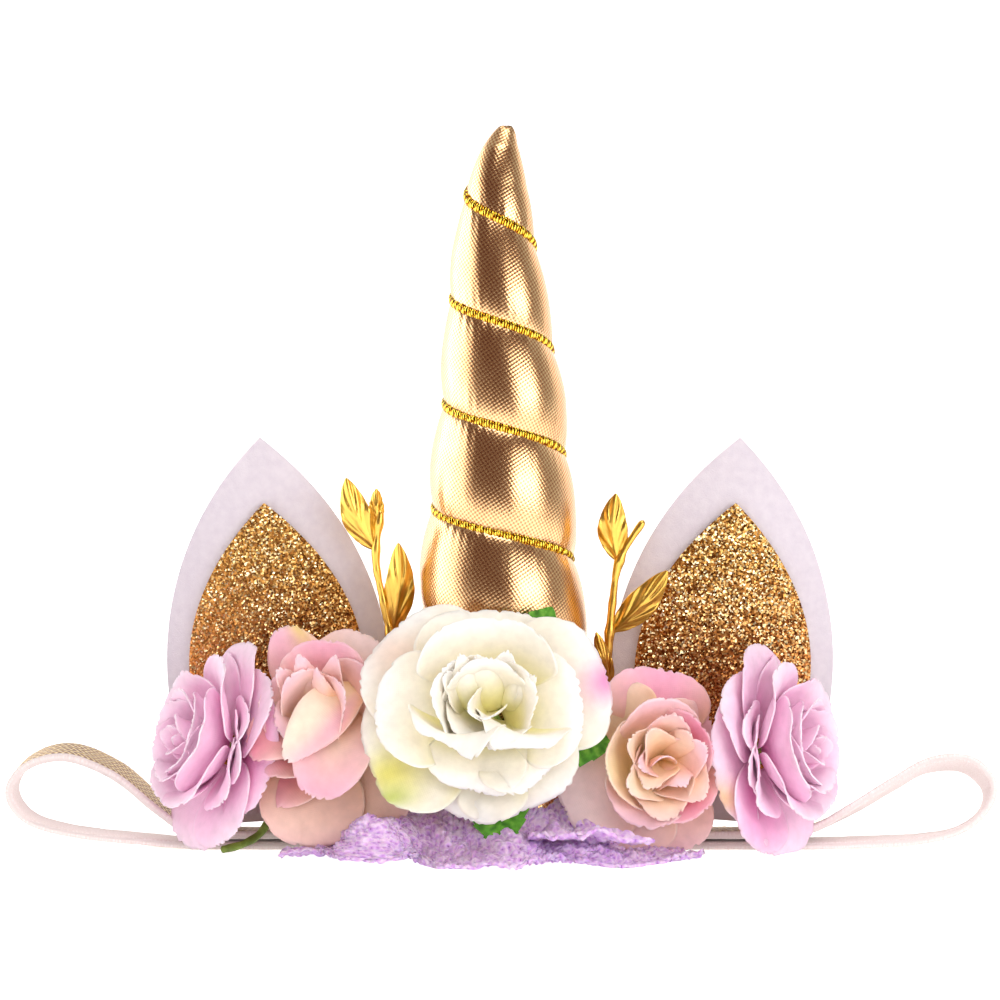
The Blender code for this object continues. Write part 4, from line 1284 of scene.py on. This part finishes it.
FLAP_FOLDS = (
    (4.4, 4.8, -24.2, 4.8, 4.8, -29.4, 5.0),
    (8, 9.2, -26, 5.2, 9.6, -31.6, 5.2),
    (11, 14.2, -27, 5.2, 15.4, -32.4, 5.8),
    (14, 18.6, -27.6, 4.6, 21, -32.6, 5.0),
    (17, 22.4, -27.4, 4.6, 26.2, -31.8, 5.6),
)


def push_out(points, height):
    """Moves a grid of points along its own normals."""
    down, right = np.gradient(points, axis=0), np.gradient(points, axis=1)
    normal = np.cross(right, down)
    normal /= np.maximum(np.linalg.norm(normal, axis=-1), 1e-9)[..., None]
    return points + normal * height[..., None]


LACE_THICK = 0.6
LUMPS_PER_MM = 3.4


def lace_piece(name, folds, root_y, root_z, columns, rows, seed, raised):
    """Gathered lace. Its back is raised by so many mm in the middle, to meet the underside of the rose."""

    def shape(u, v):
        points = np.zeros((*u.shape, 3))
        for column in range(u.shape[1]):
            fold = smooth_point(folds, u[0, column] * (len(folds) - 1))
            root_x, belly_x, belly_y, belly_z, rim_x, rim_y, rim_z = fold
            back = raised * float(ease((belly_x + 21) / 5) * ease((23 - belly_x) / 6))
            half_way_z = min((root_z + belly_z) / 2, root_z) + back
            half_way = ((root_x + belly_x) / 2, (root_y + belly_y) / 2, half_way_z)
            knots = ((root_x, root_y, root_z), half_way, (belly_x, belly_y, belly_z), (rim_x, rim_y, rim_z))
            for row in range(u.shape[0]):
                points[row, column] = smooth_point(knots, 3 * v[row, column])
        spread = np.append(0, np.cumsum(np.linalg.norm(np.diff(points[rows // 2], axis=0), axis=1)))
        across = np.broadcast_to(spread, u.shape)
        along = v * np.abs(folds[len(folds) // 2][5] - root_y) * 1.1
        out = ease(v * 2.2)
        lumps = 0.34 * waves(seed, across * LUMPS_PER_MM, along * LUMPS_PER_MM, count=18)
        cockle = 0.75 * waves(seed + 1, across / 1.7, along / 2.2)
        points = push_out(points, (lumps + cockle) * out)
        scallop = 0.5 * np.abs(np.sin(across * 1.3)) * ease((v - 0.86) / 0.14)
        points[..., 1] -= scallop
        points[..., 2] = np.maximum(points[..., 2], 0.35)
        return points, np.stack((across, along), axis=-1), None

    piece = cloth_grid(name, columns, rows, shape)
    area = flat_area(piece)
    apply_modifier(piece, "SOLIDIFY", thickness=LACE_THICK * MM, offset=0)
    return piece, area


lace_lower, lower_area = lace_piece("lower_lace", LACE_FOLDS, -5.35, 0.9, 208, 84, 31, 8.0)
lace_upper, upper_area = lace_piece("upper_lace", FLAP_FOLDS, -19.8, 4.6, 72, 40, 47, 0)
print("lace areas", round(lower_area * 1e6), "and", round(upper_area * 1e6), "square mm")

# %% [markdown]
# Cotton yarn is dull and fluffy. The lace is a net of thick yarn with small openings, painted dark purple as
# the shade seen through them, which a Voronoi pattern places about 0.8 mm apart, and the yarn's own lumps
# get a fine noise.

# %% Lace finish
lace_yarn, tree, shader = new_finish(
    "lilac cotton lace",
    {"Roughness": 0.95, "Specular IOR Level": 0.15, "Sheen Weight": 0.5, "Sheen Roughness": 0.5},
)
feed(tree, shader, {"Sheen Tint": colour("F0D8FF"), "Subsurface Weight": 0.15, "Subsurface Scale": 0.8 * MM})
flat_place = add_node(tree, "UVMap", uv_map="UVMap")
openings = add_node(tree, "TexVoronoi", {"Vector": flat_place, "Scale": 1.25, "Randomness": 0.9})
fluff = add_node(tree, "TexNoise", {"Vector": flat_place, "Scale": 2.8, "Detail": 6.0})
uneven = add_node(
    tree,
    "Math",
    {0: fluff.outputs["Fac"], 1: 0.3, 2: openings.outputs["Distance"]},
    operation="MULTIPLY_ADD",
)
# The darkest stop, 6A3A80, is painted shade in the lace's openings, not the yarn's own colour.
yarn_and_opening_shade = add_node(
    tree,
    "ValToRGB",
    {0: uneven},
    stops=(
        (0.2, colour("6A3A80")), (0.27, colour("CC92E2")), (0.5, colour("E4B4F4")), (0.85, colour("F8DCFE"))
    ),
)
height = add_node(tree, "Math", {0: uneven, 1: 2.0, 2: fluff.outputs["Fac"]}, operation="MULTIPLY_ADD")
relief = add_node(tree, "Bump", {"Height": height, "Distance": 0.2 * MM, "Strength": 0.9})
feed(tree, shader, {"Base Color": yarn_and_opening_shade, "Normal": relief})
dress(lace_lower, lace_yarn, ["lace_ruffle"])
dress(lace_upper, lace_yarn, ["lace_flap"])
lower_area, upper_area = min(lower_area, 0.0043), min(upper_area, 0.00072)

# %% [markdown]
# ## The elastic
# The band is plush elastic: one face is white velvet pile, the other is ribbed with a gold lurex zigzag. Its
# section is a flat rounded bar that is carried once round the closed loop, through both bends.

# %% Elastic loop
BAND_HALF = 5.0
BAND_THICK = 1.6
LEFT_BEND = (
    # x, z, front_lift
    (-52.5, 2.7, 0.0),
    (-57, 4.4, -0.3),
    (-62, 8.2, -0.6),
    (-69, 13.9, -0.8),
    (-77.5, 17.2, -0.8),
    (-84.6, 15.4, -0.5),
    (-87.8, 10.4, -0.1),
    (-84.5, 5.4, 0.0),
    (-76, 2.9, 0.0),
    (-64, 1.6, 0.0),
    (-55, 0.8, 0.0),
)
RIGHT_BEND = (
    (56, 0.8, 0.0),
    (66, 1.1, 0.0),
    (76, 1.7, 0.2),
    (83, 3.4, 0.7),
    (87.4, 7.2, 1.2),
    (87.8, 11.6, 1.3),
    (83.6, 15.1, 1.4),
    (77, 14.8, 1.4),
    (71, 11.6, 1.4),
    (64, 7.4, 1.2),
    (57.5, 4.0, 0.6),
    (52.5, 2.7, 0.0),
)
stations = []
for bend in (LEFT_BEND, RIGHT_BEND):
    stations += [smooth_point(bend, stop / 20) for stop in range(20 * (len(bend) - 1) + 1)]
stations.append(stations[0])
stations = np.array(stations)
run = np.append(0, np.cumsum(np.hypot(np.diff(stations[:, 0]), np.diff(stations[:, 1]))))
BAND_STEPS = 720
even = np.linspace(0, run[-1], BAND_STEPS + 1)
band_line = np.stack([np.interp(even, run, stations[:, part]) for part in range(3)], axis=-1)
band_line[-1] = band_line[0]
ahead, behind = np.roll(band_line[:-1], -1, axis=0), np.roll(band_line[:-1], 1, axis=0)
band_along = ahead - behind
band_along = np.append(band_along, band_along[:1], axis=0)[:, :2]
band_along /= np.linalg.norm(band_along, axis=1)[:, None]
print("the loop of elastic is", round(float(run[-1]), 1), "mm round")


def band_section(steps):
    """Places round a flat rounded bar: across from -1 to 1 and level from -1 to 1."""
    turn = TAU * np.arange(steps + 1) / steps
    across = np.sign(np.cos(turn)) * np.abs(np.cos(turn)) ** 0.35
    level = np.sign(np.sin(turn)) * np.abs(np.sin(turn)) ** 0.35
    return across, level


def elastic_shape(u, v):
    across, level = band_section(SECTION_STEPS)
    across = np.broadcast_to(across[:, None], u.shape)
    level = np.broadcast_to(level[:, None], u.shape)
    out = np.stack((band_along[:, 1], 0 * band_along[:, 0], -band_along[:, 0]), axis=-1)
    centre = np.stack((band_line[:, 0], 0 * band_line[:, 0], band_line[:, 1]), axis=-1)
    length = np.broadcast_to(even, u.shape)
    pile = 0.05 * waves(71, length * 2.2, across * 9, level * 3)
    ribs = 0.05 * np.sin(length * TAU / 1.1 + 3 * np.abs(((across * 3) % 2) - 1)) * (level > 0.5)
    raised_by = level * BAND_THICK / 2 * (1 - 0.04) + (pile + ribs) * 0.5
    points = centre[None] + out[None] * raised_by[..., None]
    points[..., 1] = across * BAND_HALF
    points[..., 2] -= across * band_line[:, 2][None]
    return points, np.stack((length, across * BAND_HALF + 20 * (level > 0)), axis=-1), None


SECTION_STEPS = 28
elastic_loop = cloth_grid("elastic_loop", BAND_STEPS, SECTION_STEPS, elastic_shape)
close_seams(elastic_loop)

# %% [markdown]
# The pile is tiny loops of soft nylon, matt with a light sheen. On the other face the lurex is a flat gold
# film laid in zigzags 1.1 mm apart between woven edges. One material draws both, by which half of the UV map
# it is on.

# %% Elastic finish
elastic_finish, tree, shader = new_finish(
    "plush elastic with lurex", {"Sheen Weight": 0.3, "Sheen Roughness": 0.5, "Specular IOR Level": 0.3}
)
flat_place = add_node(tree, "UVMap", uv_map="UVMap")
split = add_node(tree, "SeparateXYZ", {0: flat_place})
gold_side = add_node(tree, "Math", {0: split.outputs[1], 1: 10.0}, operation="GREATER_THAN")
from_middle = add_node(tree, "Math", {0: split.outputs[1], 1: 20.0}, operation="SUBTRACT")
folded = add_node(tree, "Math", {0: from_middle, 1: 1.25}, operation="PINGPONG")
slanted = add_node(tree, "Math", {0: folded, 1: 1.0, 2: split}, operation="MULTIPLY_ADD")
zigzag_place = add_node(tree, "Math", {0: slanted, 1: TAU / 1.1}, operation="MULTIPLY")
zigzag = add_node(tree, "Math", {0: zigzag_place}, operation="SINE")
distance = add_node(tree, "Math", {0: from_middle}, operation="ABSOLUTE")
inside = add_node(tree, "Math", {0: distance, 1: 4.1}, operation="LESS_THAN")
lurex = add_node(tree, "Math", {0: gold_side, 1: inside}, operation="MULTIPLY")
gold = add_node(
    tree,
    "ValToRGB",
    {0: zigzag},
    stops=((0.1, colour("8A5426")), (0.45, colour("E0B45C")), (1.0, colour("FFF0B8"))),
)
pile_noise = add_node(tree, "TexNoise", {"Vector": flat_place, "Scale": 2.6, "Detail": 4.0})
pile_colour = add_node(
    tree,
    "ValToRGB",
    {0: pile_noise.outputs["Fac"]},
    stops=((0.3, colour("EADAD6")), (0.7, colour("FAF2F0"))),
)
both = add_node(tree, "Mix", {0: lurex, 6: pile_colour, 7: gold}, data_type="RGBA")
shine = add_node(tree, "Math", {0: lurex, 1: 0.85}, operation="MULTIPLY")
dull = add_node(tree, "MapRange", {0: lurex, 3: 0.95, 4: 0.35})
height = add_node(tree, "Mix", {0: lurex, 2: pile_noise.outputs["Fac"], 3: zigzag})
relief = add_node(tree, "Bump", {"Height": height, "Distance": 0.15 * MM, "Strength": 0.7})
feed(tree, shader, {"Base Color": both.outputs[2], "Metallic": shine, "Roughness": dull, "Normal": relief})
dress(elastic_loop, elastic_finish, ["elastic_band"])

# %% [markdown]
# ## Studio and light
# The headband stands on a white table that curves up behind it. Two broad lights at the left give the horn
# its white stripe, a smaller one at the right front makes the oval highlights, and one above lights each
# swell's top. A fill beside the camera softens the shadows of the petals, and the metal doesn't mirror it.
# The room behind the camera stays dark, which is what draws the brown band down the horn.


# %% White sweep
def sweep_shape(u, v):
    along = v * 3.4
    bend = np.clip((along - 1.9) / (0.4 * math.pi / 2), 0, 1) * math.pi / 2
    y = -1.2 + np.minimum(along, 1.9) + 0.4 * np.sin(bend)
    z = 0.4 * (1 - np.cos(bend)) + np.maximum(along - 1.9 - 0.4 * math.pi / 2, 0)
    points = np.stack(((u - 0.5) * 5, y, z), axis=-1) / MM
    return points, np.stack((u, v), axis=-1), None


sweep = cloth_grid("studio_sweep", 4, 120, sweep_shape)
sweep_finish, tree, shader = new_finish(
    "white photo paper", {"Base Color": (0.9, 0.9, 0.9, 1), "Roughness": 0.9}
)
feed(tree, shader, {"Emission Color": (1, 1, 1, 1)})
# The paper is lit from behind. The camera sees it burnt out to white, and less of that falls on the headband
ray = add_node(tree, "LightPath")
seen = add_node(tree, "Math", {0: ray.outputs["Is Camera Ray"], 1: ray.outputs["Is Glossy Ray"]})
glow = add_node(tree, "Math", {0: seen, 1: 0.5, 2: 0.4}, operation="MULTIPLY_ADD")
feed(tree, shader, {"Emission Strength": glow})
sweep.data.materials.append(sweep_finish)
select_only(sweep)
bpy.ops.object.shade_smooth()

# %% Lights
SOFTBOXES = (
    # name, degrees round from the camera, degrees up, distance, width, height, watts
    ("left_wall", -114, 10, 0.75, 0.95, 0.8, 2.2),
    ("left_shine", -92, 5, 0.7, 0.95, 0.75, 5.0),
    ("right_front", 44, 13, 0.8, 0.62, 0.28, 2.4),
    ("overhead", 12, 66, 0.8, 0.5, 0.4, 2.2),
    ("camera_side_fill", -10, 8, 0.9, 0.8, 0.8, 3.6),
)
for name, around, up, distance, width, height, watts in SOFTBOXES:
    turn, rise = math.radians(around), math.radians(up)
    towards = Vector((math.sin(turn) * math.cos(rise), -math.cos(turn) * math.cos(rise), math.sin(rise)))
    target = Vector((0, 0, 0.06))
    bpy.ops.object.light_add(type="AREA", location=target + towards * distance)
    softbox = bpy.context.object
    softbox.name = name
    softbox.rotation_euler = towards.to_track_quat("Z", "Y").to_euler()
    softbox.data.shape = "RECTANGLE"
    softbox.data.size = width
    softbox.data.size_y = height
    softbox.data.energy = watts
    softbox.visible_camera = False
    # The fill only softens the shadows. Metal doesn't mirror it, so the camera's side stays dark there.
    # The shine is the other way round: it whitens the stripe on the horn, and leaves the felt as it is
    softbox.visible_glossy = name != "camera_side_fill"
    softbox.visible_diffuse = name != "left_shine"

world = bpy.data.worlds.new("studio_room")
bpy.context.scene.world = world
world.use_nodes = True
tree = world.node_tree
background = tree.nodes["Background"]
direction = add_node(tree, "TexCoord")
split = add_node(tree, "SeparateXYZ", {0: direction.outputs["Generated"]})
room = add_node(
    tree,
    "ValToRGB",
    {0: add_node(tree, "MapRange", {0: split.outputs[1], 1: -1.0, 2: 1.0})},
    stops=((0.3, (0.29, 0.17, 0.14, 1)), (0.62, (1.0, 1.0, 1.0, 1))),
)
feed(tree, background, {"Color": room, "Strength": 0.58})
